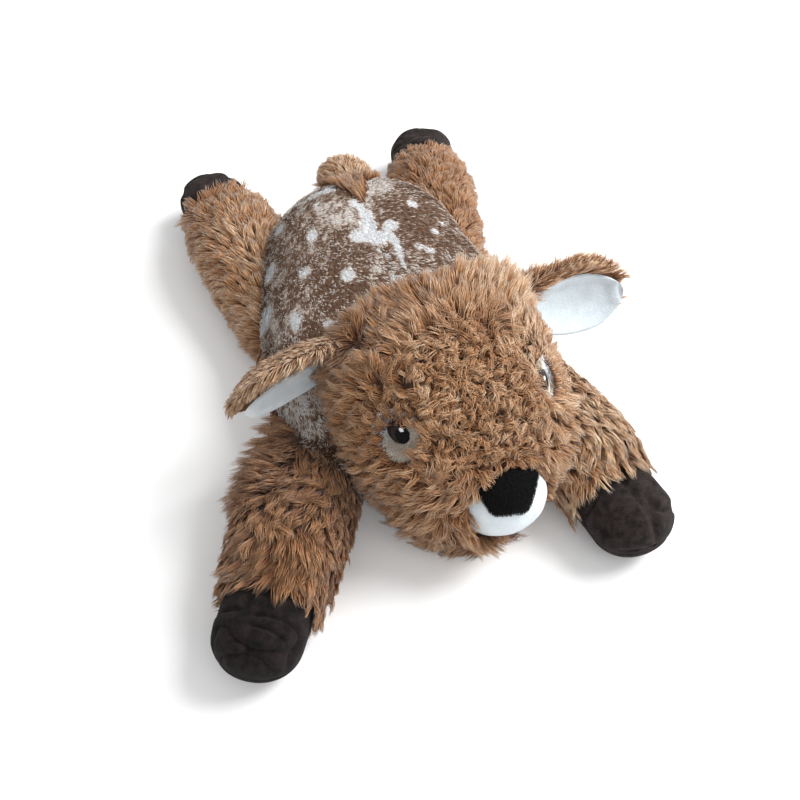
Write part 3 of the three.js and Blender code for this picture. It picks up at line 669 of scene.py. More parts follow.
SPOTS = [  # x, y, half length, half width, heading in degrees, of the spots on the back
    (-54.6, 60.7, 5.5, 3.4, -20), (-39.1, 33.2, 6.0, 3.8, -8), (-68.6, 28.2, 7.8, 3.6, -22),
    (-51.1, 4.3, 4.4, 4.2, 0), (-28.8, -13.3, 5.6, 4.6, -12), (-79.4, -5.1, 8.2, 4.0, -18),
    (-65.2, -27.6, 7.4, 3.0, -4), (-79.0, -39.9, 3.6, 3.0, 0), (-20.4, 74.8, 9.0, 4.0, 62),
    (-44.0, 84.0, 8.0, 4.0, 50), (-35.0, 74.0, 3.2, 2.2, 40), (29.2, 40.7, 5.0, 3.6, 10),
    (33.4, 10.3, 3.6, 2.4, 20), (18.5, -4.6, 3.8, 2.6, 30), (24.0, -8.2, 3.6, 2.8, 30),
    (43.2, 22.4, 2.6, 1.4, 20), (-46.7, -43.4, 6.0, 3.0, 55), (54, -20, 3, 2, 20),
]
SPINE = [  # the white patch over the spine and the strip on its left
    (-12.5, 16.4, 7.4, 7.2, 0), (-3.6, 12.6, 8.2, 7.8, 0), (-4.4, 26.0, 10.0, 5.6, -12),
    (-2.6, 37.0, 8.0, 4.4, 4), (-5.0, 47.0, 8.0, 3.2, 20), (8.2, 20.0, 6.4, 5.0, 0),
    (5.8, 9.0, 9.0, 3.4, 8), (6.2, -3.0, 8.5, 2.4, -4), (5.2, -14.0, 6.0, 1.3, 0),
    (-5.3, 0.5, 2.6, 1.7, 0), (-1.4, -5.0, 2.4, 1.6, 0), (-1.5, -26.5, 6.0, 3.6, 40),
    (-18.0, 77.5, 8.5, 2.6, 118), (-28.9, 73.0, 4.0, 2.6, 60), (-29.2, 61.2, 2.6, 1.8, 0),
]
PALE_PRINT_AND_PAINTED_LIGHT = [  # x, y, reach in x, reach in y, share added, where pale strands are more frequent; some are painted light and shade: more pale strands below the right ear, where its shadow falls, and fewer just above that ear, where the print lies in shade
    (13, 66, 13, 18, 0.3), (-9, -17, 13, 11, 0.24), (-16, 45, 10, 20, 0.16), (-72, -6, 9, 12, 0.08),
    (-58, -48, 16, 12, -0.2), (-80, -78, 18, 20, 0.28), (30, 10, 14, 22, -0.24), (20, 44, 16, 14, -0.1),
    (-45, 45, 22, 30, 0.05), (-60, -20, 16, 20, 0.05),
]
PRINT_LAY = np.array([0.5, -0.86, 0.0])


def spots_at(p, table, ragged):
    """How far inside the nearest oval spot each point is: 0 outside, 1 well inside, with ragged edges."""
    best = np.full(len(p), 9.0)
    rough = ragged * (noise(p, 2.4, 5) + 0.6 * noise(p, 1.1, 6))
    for x, y, long, wide, angle in table:
        a = math.radians(angle)
        dx, dy = p[:, 0] - x, p[:, 1] - y
        ahead, aside = dx * math.sin(a) - dy * math.cos(a), dx * math.cos(a) + dy * math.sin(a)
        best = np.minimum(best, np.sqrt((ahead / long) ** 2 + (aside / wide) ** 2))
    return 1 - smooth(best + rough, 0.86, 1.08)


def print_shade(p, chance=0.5):
    """The print, from 0 brown to 1 white. Each place is pale or brown by chance, pale more often in cloudy
    patches and in the places of PALE_PRINT_AND_PAINTED_LIGHT, some of which paint light and shade, and the
    spots lie over that."""
    cloud = 0.7 * noise(p, 15, 13) + 0.8 * noise(p, 4, 14)
    lit = 0.4 + 0.2 * cloud
    for x, y, wide, long, more in PALE_PRINT_AND_PAINTED_LIGHT:
        lit = lit + more * np.exp(-((p[:, 0] - x) / wide) ** 2 - ((p[:, 1] - y) / long) ** 2)
    lit = np.clip(lit, 0.14, 0.8)
    pale = smooth(lit - chance, -0.04, 0.04)
    brown = 0.02 + 0.34 * chance + 0.05 * cloud
    base = brown * (1 - pale) + pale * (0.53 + 0.42 * lit)
    white = np.maximum(spots_at(p, SPOTS, 0.1), spots_at(p, SPINE, 0.16))
    return np.clip(base * (1 - white) + 0.95 * white, 0.02, 0.97)


def printed(c):
    """Gives each strand the print's shade where its middle lies: the cloth is printed after weaving."""
    reach = 0.55 * c["length"] * np.sin((c["lean"][0] + c["lean"][1]) / 2)
    c["tint"] = print_shade(c["p"] + reach[:, None] * c["lay"], c["chance"])
    return c


def rump(p):
    """Share of long fur at the back's rear: behind a slanting edge, with a point where the valley ends."""
    x, y = p[..., 0], p[..., 1]
    edge = 86 - 36 * np.exp(-((x / 8.5) ** 2)) + 30 * smooth(-x, 9, 17) + 12 * smooth(x, 18, 28)
    return smooth(y - edge - 1.5 * np.sin(x * 0.9), -1.5, 1.5) * (p[..., 2] > BODY["seam"] - 1)


def with_print(p):
    # along of 0.4 darkens the back's cloth through the printed pile's root ramp: painted shade beneath the
    # pile
    return (("tint", print_shade(p)), ("along", np.full(len(p), 0.4)))


# What hides a root from view, so that no strand is spent there

def outside(*forms, by=1.0):
    def keep(p):
        seen = np.ones(len(p), bool)
        for form in forms:
            seen &= form.level(p) > by
        return seen
    return keep


def eye_distance(p, side):
    """Distance from the middle of an eye's surroundings, and that middle."""
    centre = head.world(EYE["ahead"] - 4, side * (EYE["side"] + 5), EYE["height"] + 4)
    return np.linalg.norm(p - centre, axis=1), centre


def shoulder(p):
    """Share of the printed pile on the right front leg's root, whose seam to the fur runs slantwise and
    turns back along the leg's outer side."""
    q = legs["front_right"].local(p)
    return smooth(13 + 0.46 * q[..., 1] - 1.2 * np.maximum(-q[..., 1] - 5, 0) - q[..., 0], -2, 2)


# Pieces

def make_body():
    back = skin("back_panel_fabric", body.points, end_spaced(70), 90, 0.0, 0.5, with_print)
    wear(back, printed_pile, ["back_panel", "body_filling"], "body")
    belly = skin("belly_panel_fabric", body.points, end_spaced(60), 80, 0.5, 1.0)
    wear(belly, fur_backing, ["belly_panel"], "body")


def make_print_pile():
    pile = style(3.4, (50, 82), 0.36, pull=0.45, frizz=0.2, swirl=18, stray=14, per_lock=4)
    for name, side in (("right", -1), ("left", 1)):
        def density(p, n):
            return (p[..., 2] > BODY["seam"] - 1) * (side * p[..., 0] > -0.5) * (1 - rump(p))
        c = coat(body, density, lambda p: np.broadcast_to(PRINT_LAY, p.shape), pile, 21 + side,
                 keep=outside(head, *legs.values(), by=0.93))
        wear(strands("back_pile_" + name, printed(c), 2), printed_pile, body="body")


def make_rump_fur():
    """Long fur over the rear edge of the print, lying backwards and fanning out from the valley's end."""
    pile = style(13, (46, 76), 0.37, curl=0.4, turns=0.5, tint=0.55, swirl=26)
    c = coat(body, lambda p, n: 0.9 * rump(p), lambda p: vectors((p[:, 0] - 5) / 34, 0.9, 0.1), pile, 35,
             keep=outside(*legs.values(), by=0.95))
    wear(strands("rump_fur", c, 3, droop=0.05), long_fur, body="body")


def make_belly_fur():
    pile = style(15, (50, 80), 0.62, curl=0.5, turns=0.5, pull=0.7, frizz=0.5, tint=0.45, swirl=40, stray=25,
                 per_lock=9)

    def density(p, n):
        """Denser along the seam at the rear, where the pile parts."""
        parting = smooth(p[..., 1], 60, 90) * bell(p[..., 2] - 29, 6)
        return (0.3 + 0.6 * parting) * (p[..., 2] < BODY["seam"]) * smooth(p[..., 2], 2, 6)

    c = coat(body, density, lambda p: unit(vectors(0.4 * p[:, 0], 0.3 * p[:, 1], -20)), pile, 31,
             keep=outside(head, *legs.values(), by=0.95))
    wear(strands("belly_fur", c, 3, droop=0.1), long_fur, body="body")


def head_lay(p):
    """Lay of the head's pile: back and outward over the crown, down the cheeks, forward over the nose,
    round a whorl at the root of the right ear, and away from the eyes."""
    q = head.local(p)
    a, b, z = q[:, 0], q[:, 1], q[:, 2]
    aside = np.tanh(b / 16)
    front = smooth(a, 18, 46)
    high = smooth(z, 60, 95)
    flow = vectors(-0.9 * (1 - front) + 0.25 * front * high, (0.55 + 0.5 * front) * aside,
                   -0.75 * (1 - high) * (1 - 0.4 * front) - 0.15) @ head.axes.T
    away = p - (ears["right"].origin + np.array([6.0, -8.0, 12.0]))
    flow = flow + 2.2 * bell(np.linalg.norm(away, axis=1), 17)[:, None] * unit(away)
    for side in (-1, 1):
        d, centre = eye_distance(p, side)
        flow = flow + 2.6 * bell(d, 17)[:, None] * unit(p - centre)
    over = 0.7 * smooth(z, 34, 44) * bell(muzzle_gap(p) - 1, 0.25) + 6 * jowl(p)
    return flow + over[:, None] * unit(muzzle_middle - p)


def muzzle_gap(p):
    """1 on the muzzle, more outside it, in shares of its half sizes."""
    return np.linalg.norm((p - muzzle_middle) @ head.axes / muzzle_radii, axis=-1)


def ruff(p):
    """Share of the longer, upright fur at the back of the crown beside the left ear."""
    q = head.local(p)
    crown = smooth(-q[:, 0], 26, 52) * smooth(q[:, 1], 8, 30) * smooth(q[:, 2], 50, 80)
    return np.maximum(crown, beside_ear(p))


def beside_ear(p):
    """Share of the tuft between the crown and the left ear."""
    q = head.local(p)
    return bell(q[:, 1] - 44, 13) * smooth(-q[:, 0], 12, 34) * smooth(q[:, 2], 50, 70)


def jowl(p):
    """Share of the fur that stands up along the muzzle's right side and covers its edge."""
    q = head.local(p)
    return smooth(-q[:, 1], 4, 12) * smooth(q[:, 2], 52, 42) * bell(muzzle_gap(p) - 1, 0.3)


def curly(p):
    """Share of tight curls: the forehead and the bridge of the nose."""
    q = head.local(p)
    bridge = bell(q[:, 1], 30) * smooth(q[:, 0], -18, 4) * (1 - smooth(q[:, 0], 44, 56))
    return np.clip(bridge * smooth(q[:, 2], 56, 74) * 1.3, 0, 1)


def wavy(p):
    """Share of long wavy locks: the right cheek and jaw."""
    q = head.local(p)
    return smooth(-q[:, 1], 12, 30) * smooth(q[:, 0], -30, 0) * (1 - curly(p))


def head_painted_light(p):
    """The pile's tint, with painted light and shade: paler on the left cheek, which faces the light, and a
    little darker on the right one.
    """
    b = head.local(p)[:, 1]
    return 0.52 + 0.16 * smooth(b, 18, 40) - 0.05 * smooth(-b, 18, 40)


def head_length(p):
    """Millimetres: short in the curls, round the eyes and by the muzzle, long at the ruff."""
    near = np.minimum(eye_distance(p, -1)[0], eye_distance(p, 1)[0])
    base = 15.5 - 5.5 * curly(p) + 4 * ruff(p) + 3 * beside_ear(p)
    close = 0.6 + 0.4 * np.maximum(smooth(muzzle_gap(p), 1.05, 1.6), jowl(p))
    return base * (0.5 + 0.5 * smooth(near, 11, 24)) * close


HEAD_STYLE = style(
    head_length, (lambda p: 44 - 26 * curly(p) - 26 * ruff(p) - 36 * jowl(p),
                  lambda p: 84 + 16 * curly(p) - 34 * ruff(p) - 34 * jowl(p)),
    lambda p: 0.35 - 0.04 * curly(p),
    curl=lambda p: 0.4 + 1.3 * curly(p) + 0.8 * wavy(p), pull=lambda p: 0.55 + 0.2 * wavy(p),
    turns=lambda p: 0.6 + 0.75 * curly(p) + 0.3 * wavy(p), frizz=lambda p: 0.4 + 0.5 * wavy(p),
    tint=head_painted_light, swirl=lambda p: 38 + 60 * curly(p), stray=lambda p: 20 + 160 * curly(p),
    own=lambda p: 9 + 9 * curly(p))
QUARTERS = {  # name: where it grows ahead and to the left, strands per square millimetre, rings, lock size
    "crown_fur": (lambda a, b: a < -18, 0.86, 3, 13),
    "forehead_fur_right": (lambda a, b: (a >= -18) & (np.abs(b + 14) <= 14), 1.1, 6, 8),
    "forehead_fur_left": (lambda a, b: (a >= -18) & (np.abs(b - 14) < 14), 1.1, 6, 8),
    "cheek_fur_right": (lambda a, b: (a >= -18) & (b < -28), 0.9, 4, 13),
    "cheek_fur_left": (lambda a, b: (a >= -18) & (b >= 28), 0.9, 4, 13),
}
EYES = {  # side, heights of the pad and of the oval over the seat, and how far the oval lies ahead and up
    "right": (-1, 0.9, 0.0, 0.0, 0.0),
    "left": (1, 2.2, -0.8, 2.6, 3.6),  # this eye looks away from the camera
}
BARE = {-1: ((5.2, -2.8, 0), 0.85), 1: ((-1.8, 2.4, 0), 0.76)}  # side: middle and share of the hollow


def eye_seat(side):
    """An eye's place; its axes are its own right, its own up, and out of the eye."""
    across, along, height = EYE["facing"]
    out = unit(np.array([-along, side * across, height]))
    level = unit(np.cross(UP, out))
    axes = head.axes @ np.stack([level, np.cross(out, level), out], -1)
    return Shape(head.world(EYE["ahead"], side * EYE["side"], EYE["height"]), axes)


def dished(p):
    """Sinks a surface into the ellipsoid hollow of each eye, along the way the eye looks."""
    a, b, c = EYE["hollow"]
    for side in (-1, 1):
        seat = eye_seat(side)
        q = seat.local(p)
        room = 1 - (q[..., 0] / a) ** 2 - (q[..., 1] / b) ** 2
        floor = c - c * np.sqrt(np.maximum(room, 0))
        sunk = (room > 0) & (q[..., 2] > floor)
        q[..., 2] = np.where(sunk, floor, q[..., 2])
        p = np.where(sunk[..., None], q @ seat.axes.T + seat.origin, p)
    return p


def open_places(p):
    """Off the muzzle, and out of the bare oval in each eye's hollow."""
    q = (p - muzzle_middle) @ head.axes / (muzzle_radii + 0.5)
    clear = np.linalg.norm(q, axis=-1) > 0.98
    for side, (middle, share) in BARE.items():
        q = (eye_seat(side).local(p) - np.array(middle)) / (*EYE["hollow"][:2], 30)
        clear &= np.linalg.norm(q, axis=-1) > share
    return clear


def make_head():
    fabric = skin("head_fabric", lambda u, t: dished(head.points(u, t)), end_spaced(120), 150)
    wear(fabric, fur_backing, ["head_cover", "head_filling"], "head")
    off_body, off_legs = outside(body, by=0.97), outside(legs["front_left"], legs["front_right"], by=0.9)

    def keep(p):
        """The cloth stays bare beneath the muzzle's left half, where the head lies on a leg."""
        q = head.local(p)
        beneath = (muzzle_gap(p) < 1.5 + 0.4 * (q[:, 1] > 8)) & (q[:, 1] > 3) & (q[:, 2] < 30)
        return off_body(p) & off_legs(p) & open_places(p) & ~beneath & (p[:, 2] > 1.5)

    for seed, (name, (inside, dense, rings, lock)) in enumerate(QUARTERS.items()):
        def density(p, n):
            q = head.local(p)
            return dense * inside(q[..., 0], q[..., 1]) * (0.35 + 0.65 * smooth(n[..., 2], -0.75, -0.2))
        c = coat(head, density, head_lay, {**HEAD_STYLE, "per_lock": lock}, 41 + seed, keep=keep)
        wear(strands(name, c, rings, droop=0.05), long_fur, body="head")


def over_seat(seat, x, y):
    """Height of the head's surface over an eye's seat, by halving the span that holds it."""
    low, high = np.full(np.shape(x), -6.0), np.full(np.shape(x), 16.0)
    for _ in range(16):
        middle = (low + high) / 2
        inside = head.level(seat.world(x, y, middle)) < 1
        low, high = np.where(inside, middle, low), np.where(inside, high, middle)
    return low


def make_eye_patch(word, side, lift):
    seat = eye_seat(side)
    across, tall, _ = EYE["hollow"]

    def patch(u, t):
        """A dished pad: flat in the middle, its rim rising up the wall of the hollow to the fur."""
        x, y = across * u * np.cos(-2 * np.pi * t), tall * u * np.sin(-2 * np.pi * t)
        y = y * (1 + 0.26 * (y < 0) * smooth(-side * x, -8, 4))
        x = x * (1 + 0.24 * (-side * x > 0))
        middle = 4.3 + lift
        outward = smooth(np.hypot(x / across, y / tall), 0.6, 1.0)
        return seat.world(x, y, middle + (over_seat(seat, x, y) + 0.4 - middle) * outward)

    def shades(p):
        """White behind the eye, grey beige below and before it."""
        q = seat.local(p)
        x, y = -side * q[:, 0], q[:, 1]
        white = np.exp(-(((x + 9.6) / 5.2) ** 2) - ((y - 1.5) / 8.5) ** 2)
        dark = 0.5 * smooth(x, 9, 15) + 0.8 * smooth(y, 5, 10) + 0.5 * smooth(-x, 11, 13)
        return np.clip(0.52 + 0.75 * white - 0.36 * dark + 0.1 * noise(p, 1.5, 4), 0.02, 0.98)

    # along of 0.3 darkens the pad's cloth through the pile's root ramp: painted shade beneath its pile
    pad = skin("eye_patch_pad_" + word, patch, np.linspace(0, 1, 24), 48,
               attributes=lambda p: (("tint", shades(p)), ("along", np.full(len(p), 0.3))))
    wear(pad, patch_plush, ["eye_patch_" + word], "head")
    pile = style(1.7, (24, 60), 0.2, pull=0.3, frizz=0.15, swirl=20, own=20, per_lock=3)
    c = coat(Sheet(patch), lambda p, n: 3.6, lambda p: p - (seat.origin + 8 * seat.axes[:, 1]), pile,
             51 + side, low=0.45)
    c["tint"] = shades(c["p"])
    wear(strands("eye_patch_pile_" + word, c, 2), patch_plush, body="head")


def make_eye(word, side, lift, raised, forward, shifted):
    seat = eye_seat(side)

    def dome(u, t):
        """The embroidered oval: a low dome with a ridge for each row of stitches."""
        x = 7.4 * u * np.cos(-2 * np.pi * t) - side * forward
        y = 6.1 * u * np.sin(-2 * np.pi * t) + shifted
        height = 4.2 + lift + raised + 2.7 * np.sqrt(np.maximum(1 - 0.92 * u ** 2, 0))
        return seat.world(x, y, height + 0.06 * np.sin(x * 12))

    def threads(p):
        """Black pupil, brown iris and a small white oval, a painted highlight."""
        q = seat.local(p)
        x, y = -side * q[:, 0] - forward, q[:, 1] - shifted
        pupil = np.hypot((x - 3.6) / 4.3, (y - 0.1) / 4.0)
        painted_highlight = np.hypot((x - 2.0) / 1.5, (y - 2.8) / 1.0)
        value = np.where(pupil < 1, 0.15, 0.6 + 0.2 * noise(p, 1.6, 8))
        return (("tint", np.where(painted_highlight < 1, 1.0, value)),)

    iris = skin("embroidered_eye_" + word, dome, np.linspace(0, 1, 40), 64, attributes=threads)
    wear(iris, eye_thread, ["eye_" + word], "head")


def make_muzzle():
    def surface(u, t):
        """An ellipsoid with its poles ahead and behind, puckered a little."""
        lat, turned = np.pi * (u - 0.5), 2 * np.pi * t
        local = vectors(np.sin(lat), np.cos(lat) * np.cos(turned), np.cos(lat) * np.sin(turned))
        p = (local * muzzle_radii) @ head.axes.T + muzzle_middle
        return p + 0.35 * noise(p, 7, 3)[..., None] * unit(p - muzzle_middle)
    snout = skin("white_muzzle", surface, end_spaced(60), 80)
    wear(snout, white_plush, ["muzzle"], "head")


def make_nose():
    """A pad on the muzzle, pitched back about the muzzle's cross axis and rolled about its own."""
    lean, roll = math.radians(NOSE["pitch"]), math.radians(NOSE["roll"])
    out = np.array([math.cos(lean), 0, math.sin(lean)])
    rise = np.array([-math.sin(lean), 0, math.cos(lean)])
    level = np.cross(rise, out)
    across, rise = (level * math.cos(roll) + rise * math.sin(roll),
                    rise * math.cos(roll) - level * math.sin(roll))
    middle, flare = (NOSE["half_top"] + NOSE["half_base"]) / 2, (NOSE["half_top"] - NOSE["half_base"]) / 2

    def pad(u, t):
        """A trapezium with round corners laid on the muzzle: u grows from its middle to its edge, where
        the thickness rounds off and turns under."""
        c, s = np.cos(-2 * np.pi * t), np.sin(-2 * np.pi * t)
        reach = (np.abs(c) ** 7 + np.abs(s) ** 7) ** (-1 / 7)
        y = reach * s
        r = np.minimum(u, 0.8) / 0.8
        half = middle + flare * y * r
        flat = (half * reach * c * r)[..., None] * across + (NOSE["height"] / 2 * y * r)[..., None] * rise
        flat = flat + NOSE["aside"] * level
        line, outward = flat / muzzle_radii, out / muzzle_radii
        qa, qb, qc = outward @ outward, line @ outward, (line * line).sum(-1) - 1
        on = flat + ((-qb + np.sqrt(np.maximum(qb * qb - qa * qc, 0))) / qa)[..., None] * out
        thick = NOSE["thick"] * np.where(u < 0.8, rounded(1.02 - r, 0.3), -np.maximum(u - 0.8, 0))
        return (on + thick[..., None] * unit(on / muzzle_radii ** 2)) @ head.axes.T + muzzle_middle

    wear(skin("nose_pad", pad, np.linspace(0, 1, 50), 96), nose_plush, ["nose"], "head")
    pile = style(1.7, (30, 70), 0.2, pull=0.4, frizz=0.1, swirl=20, stray=30, own=20, per_lock=5)
    c = coat(Sheet(pad), lambda p, n: 2.6, lambda p: -rise @ head.axes.T + 0 * p, pile, 57, high=0.86)
    wear(strands("nose_pile", c, 2), nose_plush, body="head")


# hang is how far the rim's fur hangs over the lining, from the share turned across the ear, and trim how
# much shorter it is there. cut, short and lowered place the lining. On the right ear the fur fabric turns
# over the upper rim and hangs down the lining; on the left one the rim's fur is short and stands up.
# plush is the lining's material, the left ear taking the darker copy as painted shade; shade is the fur's
# tint, paler on the right ear as painted light, since that ear lies away from the lamp
EAR_LOOK = {
    "right": {"hang": 1.6, "trim": -0.1, "turned": -0.2, "cut": 1.35, "short": 6.0, "lowered": 3.4,
              "plush": white_plush, "shade": 0.75},
    "left": {"hang": -0.9, "trim": 0.3, "turned": 0.6, "cut": 0.27, "short": -2.0, "lowered": 2.3,
             "plush": lining_plush_painted_shade, "shade": 0.6},
}


def make_ear(word, leaf):
    look = EAR_LOOK[word]
    place = bend("head", "ear_" + word, leaf, (0, 0, 0), (16, 0, 0))
    fabric = skin("ear_fabric_" + word, leaf.points, end_spaced(50), 64)
    wear(fabric, fur_backing, ["ear_back_" + word], blend=place)
    depth = -(EAR["fur_wall"] + EAR["lining_wall"]) / 2 + 0.2

    def lining(u, t):
        """White plush that wraps the lower edge, with a puffed rim round a dished middle."""
        p = leaf.points(u, t, EAR["lining_wall"], depth, -0.4, 4.0, look["cut"], look["short"])
        edge = np.maximum(np.abs(np.cos(2 * np.pi * t)), smooth(u, 0.72, 1.0))
        rim = (smooth(edge, 0.5, 0.82) - smooth(edge, 0.9, 1.0)) * (np.sin(2 * np.pi * t) < 0)
        down = -look["lowered"] * leaf.upper * rounded(u, 0.2)[..., None] * leaf.axes[:, 1]
        return p + down - 1.3 * rim[..., None] * leaf.axes[:, 2]
    pale = skin("ear_lining_plush_" + word, lining, end_spaced(60), 96)
    wear(pale, look["plush"], ["ear_lining_" + word], blend=place)
    return place


def make_ear_fur(word, leaf, place, seed):
    look = EAR_LOOK[word]

    def behind(p):
        return leaf.local(p)[:, 2] > 0

    def lay(p):
        along, across = leaf.shares(p)
        over = smooth(across, look["turned"] - 0.1, look["turned"] + 0.15)
        hang = -0.35 + look["hang"] * over * (1 - 0.6 * smooth(along, 0.7, 1))
        return vectors(1.0, leaf.local(p)[:, 1] / 26 - hang * leaf.upper, -hang - 0.35) @ leaf.axes.T

    def density(p, n):
        across = leaf.shares(p)[1]
        rear = (n @ leaf.axes)[..., 2] > 0.15
        return 1.3 * np.where(rear, smooth(across, -0.9, -0.7), across > look["turned"])

    def length(p):
        """Shorter to the tip and behind on the right ear, longer at the root on the left one."""
        along, across = leaf.shares(p)
        if word == "right":
            whole = 9.5 - 4.5 * smooth(along, 0.6, 1) - behind(p) * (2 + 3 * smooth(across, 0, 0.6))
        else:
            whole = 12.5 + 6 * at_root(p) + 2 * smooth(along, 0.4, 0.6) - 2 * smooth(along, 0.8, 1)
        return whole * (1 - look["trim"] * smooth(across, 0.6, 0.85))

    def at_root(p):
        """Share of upright fur at the left ear's root."""
        return (word == "left") * behind(p) * (1 - smooth(leaf.shares(p)[0], 0.1, 0.45))
    pile = style(length, (lambda p: 50 - 26 * at_root(p), lambda p: 80 - 40 * at_root(p)), 0.36, curl=0.4,
                 turns=0.5, tint=look["shade"])
    c = coat(leaf, density, lay, pile, seed)
    wear(strands("ear_fur_" + word, c, 3, droop=0.08), long_fur, blend=place)


LEG_PILE_AND_PAINTED_LIGHT = {  # millimetres of pile, and its tint, which is painted light and shade: paler where a leg faces the light, darker where it lies in shade
    "front_right": (15, 0.34), "front_left": (13, 0.74), "hind_right": (12.5, 0.58), "hind_left": (11, 0.42),
}


def make_hoof(name, form, ankle, seed):
    front = name.startswith("front")

    def surface(u, t):
        """The hoof: its stuffed form with a toe seam along the top, a sole seam round the side and
        creases across it."""
        p, n = form.points(u, t), form.normals(u, t)
        q = form.local(p)
        toe = bell(q[..., 1], 1.6) * smooth(n[..., 2], 0.1, 0.5) * (1.3 if front else 0.5)
        beyond = q[..., 0] - LEGS[name]["length"]
        sole = bell(q[..., 2] - 15 + 0.1 * beyond - 0.02 * beyond ** 2, 1.3)
        crease = np.maximum(1 - 2.6 * np.abs(noise(q * np.array([1.0, 0.4, 0.5]), 7.5, seed)), 0)
        fold = crease ** 1.5 * smooth(u, ankle, ankle + 0.05) * smooth(n[..., 2], -0.2, 0.3)
        return p - (toe + (0.7 if front else 0.4) * sole + 2.3 * fold)[..., None] * n
    shares = ankle + (1 - ankle) * np.sin(np.linspace(0, np.pi / 2, 80))
    hoof = skin("hoof_plush_" + name, surface, shares, 128)
    # painted shade: the right front hoof takes a darker copy of the plush, as it lies in shade
    plush = hoof_plush_painted_shade if name == "front_right" else hoof_plush
    wear(hoof, plush, ["hoof_" + name], "leg_" + name)


def make_leg(name, form, seed):
    end = LEGS[name]["length"] - LEG["hoof_back"]
    ankle = (end + LEG["root_radius"]) / form.length
    cover = skin("leg_fabric_" + name, form.points, end_spaced(60, 0, ankle + 0.004), 64)
    wear(cover, fur_backing, ["leg_cover_" + name, "leg_filling_" + name], blend=leg_bend(name))
    make_hoof(name, form, ankle, seed + 2)
    # shade is the leg's tint of painted light and shade
    front, (pile_length, shade) = name.startswith("front"), LEG_PILE_AND_PAINTED_LIGHT[name]

    def lay(p):
        aside = form.local(p)[:, 1] / 30
        return vectors(0.9, 0.45 * aside - 0.6 * tousled(p), -0.4 * np.abs(aside)) @ form.axes.T

    def density(p, n):
        above = smooth(n[..., 2], -0.93, -0.45) * (form.local(p)[..., 0] < end - 0.5)
        printed_root = shoulder(p) * (n[..., 2] > -0.2) * (name == "front_right")
        return (0.86 if front else 0.69) * above * (1 - printed_root)

    def length(p):
        """Shorter down the sides of a front leg, longer over the right hind hoof."""
        q = form.local(p)
        near_hoof = smooth(q[:, 0], end - 25, end - 5)
        outer = 0.2 * (q[:, 1] > 0) * (name == "front_left")
        sides = smooth(np.abs(q[:, 1]), 10, 24)
        flat = (0.45 + outer) * sides * front * (1 - near_hoof * 0.8) * (1 - tousled(p))
        return pile_length * (1 - flat + 0.4 * near_hoof * (name == "hind_right") + 0.2 * tousled(p))

    def tousled(p):
        """Share of upright fur down the outer side of the right front leg's root."""
        q = form.local(p)
        return (name == "front_right") * smooth(-q[:, 1], 3, 15) * smooth(q[:, 0], 66, 34)
    pile = style(length, (lambda p: 54 - 36 * tousled(p), lambda p: 88 - 36 * tousled(p)),
                 0.37 if front else 0.42, curl=0.8 if front else 0.4, turns=0.6, pull=0.6, frizz=0.5,
                 tint=shade, swirl=50 if front else 30, stray=30 if front else 20, own=10, per_lock=12)
    c = coat(form, density, lay, pile, 71 + seed, high=ankle, keep=outside(head, body, by=0.95))
    wear(strands("leg_fur_" + name, c, 3, droop=0.08), long_fur, blend=leg_bend(name))


def make_shoulder():
    """The print runs over the root of the right front leg, down to its slanting seam."""
    pile = style(4.6, (38, 74), 0.36, pull=0.35, frizz=0.25, swirl=30, own=12, per_lock=3)
    c = coat(legs["front_right"], lambda p, n: 1.25 * shoulder(p) * (n[..., 2] > -0.2),
             lambda p: np.broadcast_to([-0.2, -0.9, -0.3], p.shape), pile, 81, high=0.6,
             keep=outside(head, body, by=0.95))
    place = leg_bend("front_right")
    wear(strands("shoulder_pile", printed(c), 2), printed_pile, blend=place)


def make_tail():
    fabric = skin("tail_fabric", tail.points, end_spaced(30), 40)
    wear(fabric, fur_backing, ["tail"], blend=tail_bend)
    pile = style(5.4, (46, 80), 0.35, curl=0.3, turns=0.4, pull=0.45, tint=0.8, stray=18)
    c = coat(tail, lambda p, n: 0.95,
             lambda p: vectors(0.8, tail.local(p)[:, 1] / 14, 0.05) @ tail.axes.T, pile, 91)
    wear(strands("tail_fur", c, 3), long_fur, blend=tail_bend)


make_body()
make_print_pile()
make_rump_fur()
make_belly_fur()
make_head()
for word, numbers in EYES.items():
    make_eye_patch(word, *numbers[:2])
    make_eye(word, *numbers)
make_muzzle()
make_nose()
for seed, (word, leaf) in enumerate(ears.items()):
    make_ear_fur(word, leaf, make_ear(word, leaf), 61 + seed)
for seed, (name, form) in enumerate(legs.items()):
    make_leg(name, form, seed)
make_shoulder()
make_tail()


# Floor, light and camera

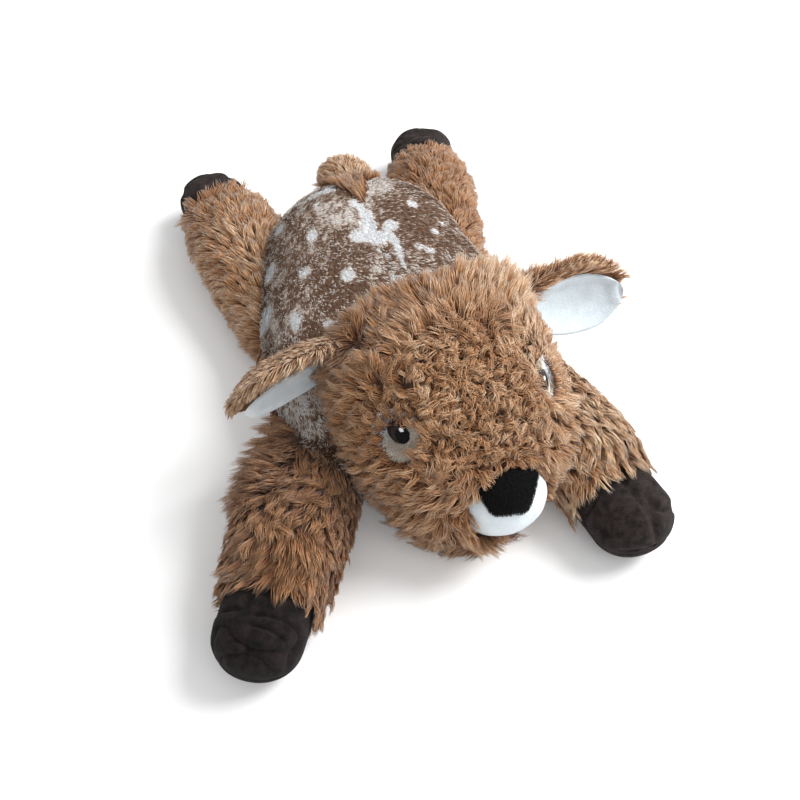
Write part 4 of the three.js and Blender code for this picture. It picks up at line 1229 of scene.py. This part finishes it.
def make_floor():
    """A wide pale sheet that lifts itself a little where the camera sees it."""
    mesh = bpy.data.meshes.new("floor")
    mesh.from_pydata([(-6, -6, 0), (6, -6, 0), (6, 6, 0), (-6, 6, 0)], [], [(0, 1, 2, 3)])  # 12 m square
    floor = bpy.data.objects.new("floor", mesh)
    bpy.context.scene.collection.objects.link(floor)
    m = Surface("matt_white_paper", 0.9, Specular_IOR_Level=0.1, Base_Color=linear("#f4f4f4"),
                Emission_Color=(1, 1, 1, 1))
    ray = m.add("LightPath").outputs
    seen = m.calc("MAXIMUM", ray["Is Camera Ray"], ray["Is Glossy Ray"])
    seen = m.calc("MAXIMUM", seen, ray["Is Transmission Ray"])
    m.link(m.calc("MULTIPLY", seen, 0.1), "Emission Strength")
    mesh.materials.append(m.material)


def make_light():
    """A white sky, a soft key lamp from the fawn's left and a weak fill from the front."""
    world = bpy.data.worlds.new("studio")
    bpy.context.scene.world = world
    world.use_nodes = True
    background = world.node_tree.nodes["Background"]
    background.inputs["Color"].default_value = (1, 1, 1, 1)
    background.inputs["Strength"].default_value = 0.62
    for name, place, size, power in (("key", (1.6, 0.0, 1.6), 1.2, 63.0),
                                     ("fill", (0.5, -1.4, 1.5), 1.5, 7.0)):
        lamp = bpy.data.lights.new(name, "AREA")
        lamp.size = size
        lamp.energy = power
        made = bpy.data.objects.new(name, lamp)
        made.location = place
        made.rotation_mode = "QUATERNION"
        made.rotation_quaternion = (Vector((0, -0.05, 0.05)) - Vector(place)).to_track_quat("-Z", "Y")
        bpy.context.scene.collection.objects.link(made)


def make_camera():
    azimuth, elevation, distance, field = math.radians(-18), math.radians(51), 0.54, math.radians(47.6)
    target = Vector((-0.0165, -0.075, 0.030))
    back = Vector((math.sin(azimuth) * math.cos(elevation), -math.cos(azimuth) * math.cos(elevation),
                   math.sin(elevation)))
    data = bpy.data.cameras.new("camera")
    data.angle = field
    data.clip_start, data.clip_end = 0.01, 50
    camera = bpy.data.objects.new("camera", data)
    camera.location = target + back * distance
    camera.rotation_mode = "QUATERNION"
    camera.rotation_quaternion = (-back).to_track_quat("-Z", "Y")
    bpy.context.scene.collection.objects.link(camera)
    bpy.context.scene.camera = camera


make_floor()
make_light()
make_camera()
bpy.context.scene.view_settings.view_transform = "Standard"
